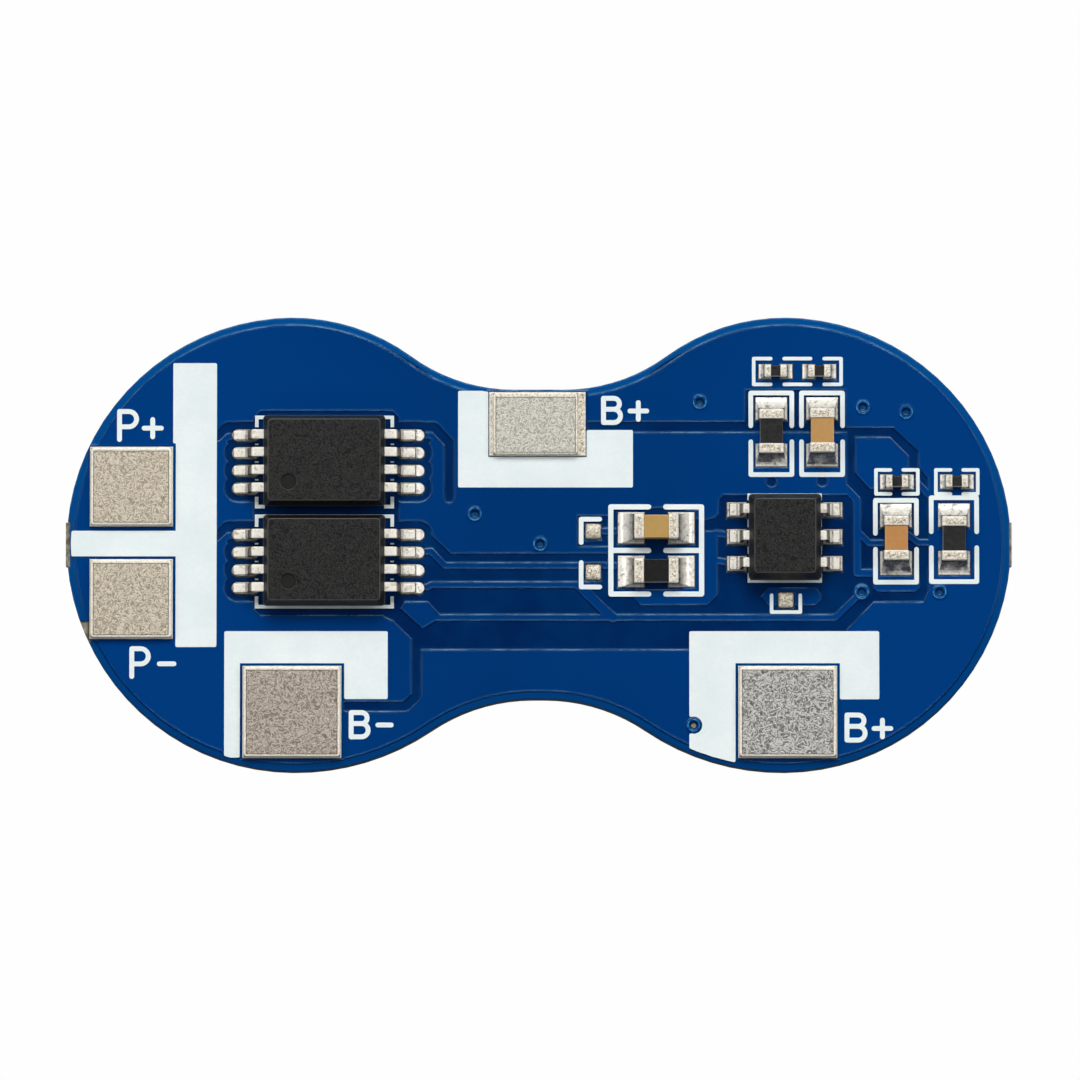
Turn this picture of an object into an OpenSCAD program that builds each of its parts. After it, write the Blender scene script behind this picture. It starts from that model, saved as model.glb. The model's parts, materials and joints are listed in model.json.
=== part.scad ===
// Two-cell battery management board.
// A bone-shaped circuit board that covers the ends of two round cells side by side. It
// carries nickel weld tabs, two eight-lead power switches, a six-lead protection chip,
// and chip capacitors and resistors.
//
// Millimetres. The origin is the middle of the board's underside. +X runs along the
// board towards the protection chip, +Y towards the middle tab, and +Z up out of the
// side that carries the parts.

/* [Board] */
// Distance between the centres of the two round ends
lobe_pitch = 18.1; // [17.6:0.1:21]
// Radius of the round ends
lobe_r = 8.44; // [8.3:0.02:9.6]
// Width across the waist between the round ends
waist_w = 11.5; // [11.2:0.1:13]
// Length of the waist's straight edge on the middle tab's side
upper_flat = 1.84; // [0.2:0.02:3]
// Length of the waist's straight edge on the other side
lower_flat = 0.44; // [0.2:0.02:2]
// Radius of the shoulders between the round ends and the waist, on the middle tab's side
upper_shoulder_r = 7.45; // [7:0.05:9]
// Radius of the shoulders on the other side
lower_shoulder_r = 9.0; // [7.6:0.05:10]
// Thickness of the glass laminate
core_t = 0.8; // [0.4:0.05:1.6]
// Thickness of each copper layer
copper_t = 0.07; // [0.05:0.005:0.14]
// Thickness of the solder mask where it lies on copper
mask_over = 0.02; // [0.01:0.005:0.04]
// Thickness of the solder mask where it lies on bare laminate
mask_base = 0.045; // [0.02:0.005:0.06]
// Thickness of the white ink
ink_t = 0.02; // [0.01:0.005:0.04]
// How far the copper stays back from the board's edge
edge_pull = 0.3; // [0.15:0.05:0.6]
// Height of the broken-off panel bridge left on each end
stub_w = 1.7; // [1:0.1:3]
// How far that bridge stands proud of the round end
stub_proud = 0.03; // [0.02:0.01:0.1]

/* [Plated holes] */
// Bore of each plated hole
via_hole = 0.3; // [0.2:0.02:0.36]
// Wall of the plating
via_wall = 0.035; // [0.02:0.005:0.05]
// Outer diameter of the mask rim round each hole
via_rim = 0.56; // [0.5:0.02:0.8]

/* [Weld tabs] */
// Length of the two output tabs
p_tab_l = 3.0; // [2.6:0.05:3.2]
// Width of the two output tabs
p_tab_w = 2.88; // [2.4:0.02:2.94]
// Gap between the two output tabs
p_tab_gap = 1.3; // [1.2:0.02:1.6]
// Distance from the board's left end to the output tabs
p_tab_inset = 0.9; // [0.86:0.02:1.2]
// Length of the two battery tabs in the round ends
b_tab_l = 3.58; // [3.2:0.02:3.8]
// Width of the two battery tabs in the round ends
b_tab_w = 3.34; // [3:0.02:3.5]
// Distance from the round end's lower edge to the battery tabs
b_tab_inset = 0.53; // [0.48:0.01:0.8]
// Length of the middle tab
mid_tab_l = 3.12; // [2.8:0.02:3.3]
// Width of the middle tab
mid_tab_w = 2.3; // [1.8:0.05:2.4]
// Distance from the waist's upper edge to the middle tab
mid_tab_inset = 0.14; // [0.12:0.01:0.6]
// Thickness of the nickel plates
tab_t = 0.25; // [0.15:0.05:0.5]
// Bevel on the plates' upper edges
tab_bevel = 0.05; // [0.02:0.01:0.08]
// Thickness of the solder film under each plate
tab_film_t = 0.05; // [0.02:0.01:0.1]
// How far the film shows past the plates
tab_film_lip = 0.04; // [0.02:0.01:0.08]

/* [Power switches] */
// Length of the switch bodies between their two rows of leads
q_body_l = 4.52; // [4:0.02:5]
// Width of the switch bodies
q_body_w = 3.38; // [2.9:0.02:3.42]
// Height of the switch bodies
q_body_h = 0.95; // [0.8:0.05:1.2]
// Distance between neighbouring leads
q_lead_pitch = 0.66; // [0.6:0.01:0.7]
// Width of each lead
q_lead_w = 0.36; // [0.25:0.01:0.4]
// Reach of each lead's foot past the body
q_lead_reach = 1.14; // [1:0.02:1.3]
// Distance between the two switches
q_spacing = 3.7; // [3.6:0.02:4]

/* [Protection chip] */
// Length of the chip's body between its two rows of leads
u_body_l = 2.7; // [2.4:0.02:3]
// Width of the chip's body
u_body_w = 3.18; // [2.8:0.02:3.3]
// Height of the chip's body
u_body_h = 1.1; // [0.9:0.05:1.3]
// Distance between neighbouring leads
u_lead_pitch = 1.0; // [0.8:0.05:1.1]
// Width of each lead
u_lead_w = 0.48; // [0.3:0.02:0.55]
// Reach of each lead's foot past the body
u_lead_reach = 0.72; // [0.6:0.02:1]

/* [Leads] */
// Thickness of the leads
lead_t = 0.13; // [0.1:0.01:0.16]
// Width of the solder shown on each side of a lead
lead_land_lip = 0.035; // [0.02:0.005:0.05]
// Gap under the moulded bodies
standoff = 0.1; // [0.05:0.01:0.15]
// Solder under each lead and chip end
joint_t = 0.03; // [0.02:0.005:0.05]
// Width of the chamfer round the moulded bodies' upper faces
body_chamfer = 0.09; // [0.04:0.01:0.12]

/* [Large chips] */
// Length of the large chip capacitors and resistors
chip_l = 1.65; // [1.5:0.05:1.8]
// Width of the large chips
chip_w = 0.92; // [0.8:0.02:1.1]
// Height of the capacitors
cap_h = 0.8; // [0.6:0.05:1]
// Height of the resistors
res_h = 0.48; // [0.4:0.02:0.6]
// Length of the metal at each end
chip_end = 0.36; // [0.25:0.01:0.45]
// Reach of each land past the chip's end
chip_land_reach = 0.59; // [0.4:0.01:0.65]
// The same for the two upright chips above the protection chip
inner_land_reach = 0.46; // [0.3:0.01:0.6]
// The same for the two upright chips beside the protection chip
outer_land_reach = 0.5; // [0.3:0.01:0.55]
// How far each land is wider than the chip, on each side
chip_land_lip = 0.12; // [0.05:0.01:0.15]

/* [Small resistors] */
// Length of the small resistors
small_l = 0.84; // [0.76:0.02:1]
// Width of the small resistors
small_w = 0.46; // [0.4:0.01:0.55]
// Height of the small resistors
small_h = 0.34; // [0.26:0.02:0.4]
// Length of the metal at each end
small_end = 0.24; // [0.2:0.01:0.3]
// Reach of each land past the small resistor's end
small_land_reach = 0.2; // [0.1:0.01:0.26]
// How far each land is wider than the small resistor, on each side
small_land_lip = 0.04; // [0.02:0.01:0.08]

/* [Copper pattern] */
// Gap between the solder mask and a land in it
mask_gap = 0.03; // [0.03:0.01:0.08]
// Clearance between a land and the copper round it
land_clear = 0.31; // [0.2:0.01:0.34]
// Width of the etched gap between two pours
pour_gap = 0.4; // [0.3:0.02:0.5]
// Width of the fine tracks
track_w = 0.19; // [0.15:0.01:0.25]

/* [White ink] */
// Stroke of the outlines round the large chips
outline_w = 0.17; // [0.12:0.01:0.2]
// Stroke of the finer outlines
fine_w = 0.13; // [0.1:0.01:0.15]
// Gap between a weld tab and the white field round it
field_gap = 0.14; // [0.1:0.01:0.18]
// Width of the white bar between the output tabs and the switches
bar_w = 1.52; // [1.2:0.02:1.7]

/* [Hidden] */
$fn = 48;
corner_fn = 8;        // segments of a full turn at the ends of tracks and gaps
oval_fn = 16;         // segments of a full turn on the lands' round ends
round_half = 85;      // the round ends are true arcs this far each side of the long axis
round_steps = 36;     // steps along each of those arcs
eps = 0.001;          // width of a line that offset() then fattens
over = 1;             // how far a cutter runs past what it cuts
mask_side = 0.025;    // mask on the flank of the copper
etch_r = 0.04;        // copper narrower than twice this etches away
end_t = 0.04;         // metal on the ends of a chip
end_r = 0.07;         // radius of the edges of that metal
coat_t = 0.03;        // black coat on a resistor
dimple_depth = 0.08;  // depth of the round mark beside a switch's first lead
lead_bury = 0.2;      // how deep the leads run into the moulded bodies
q_shoulder = 0.42;    // from the switches' bodies to the bend of their leads
u_shoulder = 0.2;     // and from the protection chip's

// Heights of the layers' upper faces, from the underside
z_core = mask_over + copper_t;
z_laminate = z_core + core_t;
z_land = z_laminate + copper_t;
z_mask = z_land + mask_over;
z_mask_low = z_laminate + mask_base;
z_seat = z_land + joint_t;

// Places that the parts are set out from
left_x = -lobe_pitch / 2;
right_x = lobe_pitch / 2;
end_x = lobe_pitch / 2 + lobe_r;
waist_y = waist_w / 2;

// Weld tabs: centre, length and width
p_x = -end_x + p_tab_inset + p_tab_l / 2;
p_y = (p_tab_gap + p_tab_w) / 2;
b_y = -lobe_r + b_tab_inset + b_tab_w / 2;
mid_y = waist_y - mid_tab_inset - mid_tab_w / 2;
tab_shift_y = 0.04;   // the output tabs sit this far above the board's centre line
p_plus = [p_x, p_y + tab_shift_y, p_tab_l, p_tab_w];
p_minus = [p_x, -p_y + tab_shift_y, p_tab_l, p_tab_w];
b_minus = [left_x - 0.08, b_y, b_tab_l, b_tab_w];
b_plus = [right_x + 0.16, b_y, b_tab_l, b_tab_w];
b_mid = [-0.12, mid_y, mid_tab_l, mid_tab_w];
tabs = [p_plus, p_minus, b_minus, b_plus, b_mid];
mid_film_left = 0.12;  // the middle tab's film shows this much further past its left end
mid_film_right = 0.26; // and this much further past its right end
tab_land_lip = 0.05;   // the lands run this far under the mask
rim_margin = 0.06;     // the lands and the film stay this far inside the board's edge
bar_x0 = p_x + p_tab_l / 2 + field_gap;
bar_x1 = bar_x0 + bar_w;

// Moulded parts: centre. The switches sit a little to the left on their lands.
q_land_reach = 1.3;    // from the body to the end of a land, if it sat in the middle
q_off = 0.14;
q_bar_gap = 0.57;      // from the white bar to the switches' lands
q_land_l = 1.02;
q_land_x = q_body_l / 2 + q_land_reach - q_land_l / 2;
q_x = bar_x1 + q_bar_gap + q_body_l / 2 + q_land_reach - q_off;
q_mid_y = 1.2;
q1 = [q_x, q_mid_y + q_spacing / 2];
q2 = [q_x, q_mid_y - q_spacing / 2];
u1 = [right_x + 0.06, 0.22];

// Chips: centre and turn
c1 = [4.35, 0.6, 0];
r1 = [4.35, -1.02, 0];
c2 = [right_x + 1.45, 4.17, 90];
r2 = [right_x - 0.43, 4.17, 90];
c3 = [right_x + 4.18, 0.17, 90];
r3 = [right_x + 6.33, 0.18, 90];
small_resistors = [
    [right_x - 0.27, 6.42, 0],
    [right_x + 1.35, 6.42, 0],
    [right_x + 4.22, 2.31, 0],
    [right_x + 6.44, 2.31, 0],
];
large_chips = [c1, c2, c3, r1, r2, r3];
field_top = q2[1] - q_body_w / 2 - 0.9;  // upper edge of the white fields round the battery tabs

// Spare test lands: centre
spare_w = 0.56;
spares = [[2.02, 0.47], [2.02, -1.05], [right_x + 0.1, -2.08]];

// Plated holes: centre
vias = [
    [left_x + 6.68, 1.12],
    [0.05, 0],
    [right_x - 3.08, 5.28],
    [right_x + 2.97, 5.09],
    [right_x + 4.57, 4.91],
    [right_x + 2.91, -1.79],
    [right_x + 5.79, -1.79],
    [b_plus[0] - 3.48, b_y - 0.49],
];
// Holes in the copper that the mask fills, beside the two upright chips
filled_vias = [[r2[0], 2.3], [c2[0], 2.32]];
filled_via_d = 0.42;

// Sizes that follow from the above
q_row = [-1.5, -0.5, 0.5, 1.5] * q_lead_pitch;
u_off = 0.05;          // the protection chip's leads lie this far above its body's middle
u_row = [u_off - u_lead_pitch, u_off, u_off + u_lead_pitch];
u_land_l = 0.7;
u_land_reach = 0.78;   // from the chip's body to the end of a land
q_land_w = q_lead_w + 2 * lead_land_lip;
u_land_w = u_lead_w + 2 * lead_land_lip;
u_land_x = u_body_l / 2 + u_land_reach - u_land_l / 2;
chip_land_w = chip_w + 2 * chip_land_lip;
function land_reach(chip) =
    chip == c2 || chip == r2 ? inner_land_reach :
    chip == c3 || chip == r3 ? outer_land_reach : chip_land_reach;
small_land_w = small_w + 2 * small_land_lip;
small_land_l = small_end + small_land_reach + 0.02;
small_land_x = small_l / 2 + small_land_reach - small_land_l / 2;

// ---------------------------------------------------------------- shared shapes

// A rectangle between two opposite corners
module box2d(x0, y0, x1, y1) {
    translate([min(x0, x1), min(y0, y1)]) square([abs(x1 - x0), abs(y1 - y0)]);
}

// A hairline along a list of points, for offset() to fatten
module hairline(points) {
    for (i = [0:len(points) - 2]) {
        run = points[i + 1] - points[i];
        translate(points[i]) rotate(atan2(run[1], run[0])) {
            translate([0, -eps / 2]) square([norm(run), eps]);
        }
    }
}

// A line of even width with round ends along a list of points
module stroke(points, width, segments = 12) {
    offset(r = width / 2, $fn = segments) hairline(points);
}

// A slot shape along X
module oval(l, w) {
    offset(r = w / 2, $fn = oval_fn) square([l - w, eps], center = true);
}

// A flat plate with bevelled upper edges and round corners, centred on the origin
module bevelled_plate(l, w, t, bevel, corner_r) {
    intersection() {
        rotate([90, 0, 0]) linear_extrude(w, center = true) bevel_profile(l, t, bevel);
        rotate([90, 0, 90]) linear_extrude(l, center = true) bevel_profile(w, t, bevel);
        linear_extrude(t) offset(r = corner_r, $fn = 24) {
            square([l - 2 * corner_r, w - 2 * corner_r], center = true);
        }
    }
}

module bevel_profile(l, t, bevel) {
    polygon([
        [-l / 2, 0],
        [l / 2, 0],
        [l / 2, t - bevel],
        [l / 2 - bevel, t],
        [bevel - l / 2, t],
        [-l / 2, t - bevel],
    ]);
}

module at(place) {
    translate([place[0], place[1], 0]) rotate(len(place) == 3 ? place[2] : 0) children();
}

// ---------------------------------------------------------------- board outline

// Points along an arc, from angle a0 to a1 in n steps, from step first to step last
function arc(centre, r, a0, a1, n, first, last) = [
    for (i = [first:last]) centre + r * [cos(a0 + (a1 - a0) * i / n), sin(a0 + (a1 - a0) * i / n)]
];

// One shoulder, from the end of a round end's arc to the waist's straight edge: an arc of
// the shoulder's radius and then a hollow arc, each tangent to what it meets
function shoulder(flat, r2) =
    let (
        c2 = [right_x, 0] + (lobe_r - r2) * [cos(round_half), sin(round_half)],
        dx = c2[0] - flat / 2,
        dy = waist_y - c2[1],
        r3 = (dx * dx + dy * dy - r2 * r2) / (2 * (r2 - dy)),
        c3 = [flat / 2, waist_y + r3],
        a = atan2(c3[1] - c2[1], c3[0] - c2[0])
    )
    concat(arc(c2, r2, round_half, a, 9, 0, 9), arc(c3, r3, a - 180, -90, 9, 1, 9));

function flipped(points, sx, sy) = [for (p = points) [sx * p[0], sy * p[1]]];

function reversed(points) = [for (i = [len(points) - 1:-1:0]) points[i]];

module board_2d() {
    upper = shoulder(upper_flat, upper_shoulder_r);
    lower = shoulder(lower_flat, lower_shoulder_r);
    polygon(concat(
        arc([right_x, 0], lobe_r, -round_half, round_half, round_steps, 1, round_steps - 1),
        upper,
        reversed(flipped(upper, -1, 1)),
        arc([left_x, 0], lobe_r, 180 - round_half, 180 + round_half, round_steps, 1,
            round_steps - 1),
        flipped(lower, -1, -1),
        reversed(flipped(lower, 1, -1))
    ));
}

module board_slab(z0, z1) {
    translate([0, 0, z0]) linear_extrude(z1 - z0) board_2d();
}

// The rough ends of the bridges that held the board in its panel
module stubs(z0, z1) {
    for (side = [-1, 1]) {
        translate([side * (end_x + stub_proud / 2 - 0.1), 0, (z0 + z1) / 2]) {
            cube([0.2 + stub_proud, stub_w - 0.1, z1 - z0], center = true);
        }
    }
}

module via_drill(places, d) {
    for (v = places) translate([v[0], v[1], -over]) cylinder(d = d, h = z_mask + 2 * over);
}

// ---------------------------------------------------------------- lands

module q_lands_2d(q) {
    translate([q[0] + q_off, q[1]]) for (side = [-1, 1], y = q_row) {
        translate([side * q_land_x, y]) oval(q_land_l, q_land_w);
    }
}

module u_lands_2d() {
    translate(u1) for (side = [-1, 1], y = u_row) {
        translate([side * u_land_x, y]) square([u_land_l, u_land_w], center = true);
    }
}

module chip_lands_2d(place) {
    land_l = chip_end + land_reach(place) + 0.02;
    land_x = chip_l / 2 + land_reach(place) - land_l / 2;
    translate([place[0], place[1]]) rotate(place[2]) for (side = [-1, 1]) {
        translate([side * land_x, 0]) square([land_l, chip_land_w], center = true);
    }
}

module small_lands_2d(place) {
    translate([place[0], place[1]]) rotate(place[2]) for (side = [-1, 1]) {
        translate([side * small_land_x, 0]) square([small_land_l, small_land_w], center = true);
    }
}

// Left, right, lower and upper edge of the solder film under a weld tab
function film_edges(tab) = [
    tab[0] - tab[2] / 2 - tab_film_lip - (tab == b_mid ? mid_film_left : 0),
    tab[0] + tab[2] / 2 + tab_film_lip + (tab == b_mid ? mid_film_right : 0),
    tab[1] - tab[3] / 2 - tab_film_lip,
    tab[1] + tab[3] / 2 + tab_film_lip
];

module tab_land_2d(tab, lip) {
    e = film_edges(tab);
    intersection() {
        box2d(e[0] - lip, e[2] - lip, e[1] + lip, e[3] + lip);
        offset(delta = -rim_margin) board_2d();
    }
}

module part_lands_2d() {
    q_lands_2d(q1);
    q_lands_2d(q2);
    u_lands_2d();
    for (c = large_chips) chip_lands_2d(c);
    for (c = small_resistors) small_lands_2d(c);
    for (s = spares) translate(s) square(spare_w, center = true);
}

module lands_2d() {
    part_lands_2d();
    for (t = tabs) tab_land_2d(t, tab_land_lip);
}

// ---------------------------------------------------------------- copper pattern

// Bare laminate under and round the two power switches
module switch_clearing_2d() {
    half_l = q_body_l / 2 + 0.44;
    top = q1[1] + q_body_w / 2 + 0.23;
    bottom = q2[1] - q_body_w / 2 - 0.33;
    mid = q_x + q_off / 2;
    cut = 0.25;
    polygon([
        [mid - half_l, bottom + cut],
        [mid - half_l + cut, bottom],
        [mid + half_l - cut, bottom],
        [mid + half_l, bottom + cut],
        [mid + half_l, top - cut],
        [mid + half_l - cut, top],
        [mid - half_l + cut, top],
        [mid - half_l, top - cut],
    ]);
    offset(r = land_clear, $fn = oval_fn) {
        q_lands_2d(q1);
        q_lands_2d(q2);
    }
    // gaps that run from the first leads to the white bar
    tip = q_x + q_off - q_land_x - q_land_l / 2;
    for (q = [q1, q2]) {
        y = q[1] + 1.5 * q_lead_pitch + land_clear;
        stroke([[tip, y], [tip - 0.17, y], [tip - 0.55, y - 0.36]], pour_gap, corner_fn);
    }
}

// Gap that parts the first switch's copper from the upper pour
module switch_gap_2d() {
    x = q_x + q_off + q_land_x + q_land_l / 2;
    y = q1[1] + 1.5 * q_lead_pitch;
    stroke([[x, y + 0.3], [x + 0.35, y + 0.3], [x + 0.92, y - 0.3], [x + 0.92, 1.7]],
           pour_gap, corner_fn);
}

// Gap round the copper of the lower left battery tab
module battery_gap_2d() {
    x = b_minus[0] + 4.6;
    y = b_minus[1] + 0.2;
    stroke([
        [q_x + 2.3, q2[1] - 1.9],
        [x - 0.75, -2.72],
        [x, -3.45],
        [x, y + 0.4],
        [x - 0.4, y],
        [b_minus[0] + 2.0, y],
    ], pour_gap, corner_fn);
}

// Bare laminate in the middle of the board, from the switches to the protection chip
module middle_clearing_2d() {
    lower = b_plus[1] + 2.29;
    polygon([
        [q_x + 3.2, q2[1] + 1.2],
        [left_x + 5.08, 0.34],
        [left_x + 5.8, -0.34],
        [c1[0] - 1.68, -0.34],
        [c1[0] - 1.68, c1[1] + 0.75],
        [c1[0] + 1.67, c1[1] + 0.75],
        [c1[0] + 1.67, 0.89],
        [right_x - 2.86, 0.89],
        [right_x - 2.4, 1.1],
        [right_x - 2.4, 1.65],
        [right_x - 2.2, 1.84],
        [right_x + 2.34, 1.84],
        [right_x + 2.34, 4.34],
        [right_x + 4.1, 4.34],
        [right_x + 5.05, 3.45],
        [right_x + 5.05, 2.85],
        [right_x + 5.4, 2.45],
        [right_x + 5.4, -1.75],
        [right_x + 5.2, -2.18],
        [right_x + 3.36, -2.18],
        [b_plus[0] + 2.2, -3.2],
        [b_plus[0] + 2.2, lower],
        [left_x + 4.73, lower],
        [left_x + 4.2, -3.4],
        [q_x + 2.4, q2[1] - 1.9],
    ]);
}

// Bare laminate between the middle tab and the two upright chips
module upper_clearing_2d() {
    box2d(b_mid[0] + mid_tab_l / 2 + 0.3, 4.13, right_x - 1.4, 4.56);
    box2d(right_x - 1.42, 4.13, right_x + 2.34, 5.75);
}

// Copper that lies alone in the cleared laminate
module islands_2d() {
    // by the second switch
    polygon([
        [left_x + 3.97, -2.4],
        [left_x + 4.1, -2.17],
        [left_x + 4.95, -2.17],
        [left_x + 5.35, -2.6],
        [left_x + 5.25, -2.83],
        [left_x + 4.75, -3.12],
    ]);
    // under the lower chip of the middle pair
    polygon([
        [r1[0] - 0.85, -1.97],
        [r1[0] - 0.58, -2.26],
        [right_x - 2.82, -2.26],
        [right_x - 2.44, -1.88],
        [right_x - 2.44, 0.45],
        [r1[0] + 1.78, 0.45],
        [r1[0] + 1.78, -0.3],
        [r1[0] + 0.95, -0.3],
        [r1[0] + 0.95, -1.72],
        [r1[0] - 0.75, -1.72],
    ]);
    // under the chip's spare land
    polygon([
        [right_x - 0.78, -1.95],
        [right_x - 0.55, -1.65],
        [right_x + 1.2, -1.65],
        [right_x + 1.36, -1.85],
        [right_x + 1.36, -2.08],
        [right_x + 1.2, -2.26],
        [right_x - 0.55, -2.26],
    ]);
    // beside the upright capacitor
    polygon([
        [right_x + 2.69, 3.95],
        [right_x + 3.96, 3.95],
        [right_x + 4.64, 3.26],
        [right_x + 4.64, 2.72],
        [right_x + 4.1, 2.15],
        [right_x + 3.23, 2.06],
        [right_x + 2.69, 2.67],
    ]);
    // round the lower land of the third capacitor
    polygon([
        [c3[0] - 0.8, -0.97],
        [c3[0] + 0.75, -0.97],
        [c3[0] + 0.85, -1.62],
        [c3[0] + 0.72, -1.75],
        [c3[0] - 0.7, -1.75],
        [c3[0] - 0.82, -1.62],
    ]);
}

module tracks_2d() {
    q_tip = q_land_x + q_land_l / 2;
    q_end = q_x + q_off + q_tip;
    q_first = 1.5 * q_lead_pitch;
    long_y = -2.74;
    for (q = [q1, q2]) {
        x = q_x + q_off - q_tip;
        y = q[1] + q_first - 0.04;
        stroke([[x + 0.2, y], [x - 0.14, y], [x - 0.6, y - 0.44]], track_w, corner_fn);
    }
    stroke([[q_end - 0.2, q1[1] + q_first], [q_end + 0.24, q1[1] + q_first],
            [q_end + 0.62, q1[1] + q_first - 0.4]], track_w, corner_fn);
    // second switch to the middle pair and the spare lands
    stroke([[q_end - 0.2, q2[1] + q_lead_pitch / 2], [left_x + 5.06, -0.27],
            [left_x + 5.57, -0.81], [c1[0] - 1.1, -0.81]], track_w, corner_fn);
    stroke([[q_end - 0.2, q2[1] - q_first], [left_x + 4.95, -1.6],
            [left_x + 5.08, -1.52], [spares[1][0], -1.52], [spares[1][0], spares[1][1]]],
           track_w, corner_fn);
    stroke([[1.5, -1.55], [2.45, -2.5], [2.75, long_y]], 0.32, corner_fn);
    stroke([spares[0], [c1[0] - 1, spares[0][1]]], track_w, corner_fn);
    // the long track along the board
    stroke([[left_x + 5.2, long_y], [right_x + 1.93, long_y], vias[5]], track_w, corner_fn);
    // protection chip and the chips beside it
    stroke([[c1[0] + 1.2, 1.1], [right_x - 2.6, 1.1]], 0.3, corner_fn);
    stroke([[right_x - 2.5, 0.4], [u1[0] - u_land_x, u1[1] + u_row[1]]], track_w, corner_fn);
    stroke([[right_x - 2.5, -0.62], [u1[0] - u_land_x, u1[1] + u_row[0]]], track_w, corner_fn);
    stroke([[right_x + 2.1, 2.3], [right_x + 2.74, 1.64], [right_x + 2.74, -1.08],
            [c3[0], -1.08]], 0.23, corner_fn);
    stroke([[right_x + 2.74, 0.48], [right_x + 3.18, 0.03], [right_x + 3.7, 0.03]],
           track_w, corner_fn);
    stroke([[right_x + 4.4, 0.5], [right_x + 5.0, 0.05], [right_x + 5.6, 0.05]],
           track_w, corner_fn);
    stroke([[right_x + 4.6, 2.31], [right_x + 4.95, 2.31], [right_x + 5.6, 1.6]],
           track_w, corner_fn);
}

module etched_2d() {
    offset(delta = etch_r) offset(delta = -etch_r) {
        difference() {
            offset(delta = -edge_pull) board_2d();
            switch_clearing_2d();
            switch_gap_2d();
            battery_gap_2d();
            middle_clearing_2d();
            upper_clearing_2d();
            translate(spares[0]) square(spare_w + 2 * land_clear, center = true);
        }
        islands_2d();
        tracks_2d();
        lands_2d();
        for (v = vias) translate(v) circle(d = via_rim, $fn = 24);
    }
}

module copper_top_2d() {
    difference() {
        etched_2d();
        for (v = filled_vias) translate(v) circle(d = filled_via_d, $fn = 24);
    }
}

// ---------------------------------------------------------------- board layers

module fr4_core() {
    color([0.62, 0.6, 0.45]) difference() {
        union() {
            board_slab(z_core, z_laminate);
            stubs(z_core, z_laminate);
        }
        via_drill(vias, via_hole + 2 * via_wall);
    }
}

module copper_top() {
    color([0.72, 0.45, 0.2]) difference() {
        translate([0, 0, z_laminate]) linear_extrude(copper_t) copper_top_2d();
        via_drill(vias, via_hole + 2 * via_wall);
    }
}

module copper_bottom() {
    color([0.72, 0.45, 0.2]) difference() {
        translate([0, 0, mask_over]) linear_extrude(copper_t) {
            offset(delta = -edge_pull) board_2d();
        }
        via_drill(vias, via_hole + 2 * via_wall);
    }
}

// Everything on the upper side that the mask leaves open
module mask_openings_2d() {
    offset(delta = mask_gap) part_lands_2d();
    for (t = tabs) tab_land_2d(t, 0);
    // the mask has flaked off between the lower output tab and the board's edge
    box2d(p_minus[0] - p_tab_l / 2 - 0.4, p_minus[1] - p_tab_w / 2 - 0.12,
          p_minus[0] - p_tab_l / 2 + 0.05, p_minus[1] - 0.82);
    // and off the panel bridges
    translate([-end_x + 0.13 - over / 2, 0]) square([over, stub_w], center = true);
    translate([end_x - 0.06 + over / 2, 0]) square([over, stub_w], center = true);
}

// Where the mask rides over copper
module mask_relief_2d() {
    offset(delta = mask_side) copper_top_2d();
}

module mask_top() {
    color([0, 0.27, 0.55]) difference() {
        union() {
            board_slab(z_laminate, z_mask);
            for (v = vias) translate([v[0], v[1], z_laminate]) {
                cylinder(d = via_rim, h = z_mask - z_laminate + 0.015, $fn = 32);
            }
        }
        translate([0, 0, z_laminate - over]) linear_extrude(2 * over) mask_openings_2d();
        translate([0, 0, z_mask_low]) linear_extrude(over) difference() {
            offset(delta = over) board_2d();
            mask_relief_2d();
        }
        translate([0, 0, z_laminate - over]) linear_extrude(over + copper_t) copper_top_2d();
        via_drill(vias, via_hole);
    }
}

// The mask on the underside closes the plated holes
module mask_bottom() {
    color([0, 0.27, 0.55]) difference() {
        board_slab(0, z_core);
        translate([0, 0, mask_over]) linear_extrude(over) offset(delta = -edge_pull) board_2d();
        translate([0, 0, z_core - mask_base - over]) linear_extrude(over) difference() {
            offset(delta = over) board_2d();
            offset(delta = mask_side - edge_pull) board_2d();
        }
    }
}

module via_barrels() {
    color("silver") for (v = vias) translate([v[0], v[1], mask_over]) difference() {
        cylinder(d = via_hole + 2 * via_wall, h = z_land - mask_over);
        translate([0, 0, -over]) cylinder(d = via_hole, h = z_land + 2 * over);
    }
}

// ---------------------------------------------------------------- white ink

// White ink with a level top: it lies on the raised mask and fills down to the low mask
module ink() {
    translate([0, 0, z_mask]) linear_extrude(ink_t) children();
    translate([0, 0, z_mask_low]) linear_extrude(z_mask - z_mask_low) difference() {
        children();
        mask_relief_2d();
    }
}

// A field that stands round three sides of a tab: left leg, right leg and bridge
module field_round(tab, left_w, right_w, left_drop, right_drop) {
    x0 = tab[0] - tab[2] / 2 - field_gap;
    x1 = tab[0] + tab[2] / 2 + field_gap;
    y = tab[1] + tab[3] / 2 + field_gap;
    box2d(x0 - left_w, y, x1 + right_w, field_top);
    box2d(x0 - left_w, y - left_drop, x0, field_top);
    box2d(x1, y - right_drop, x1 + right_w, field_top);
}

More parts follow.
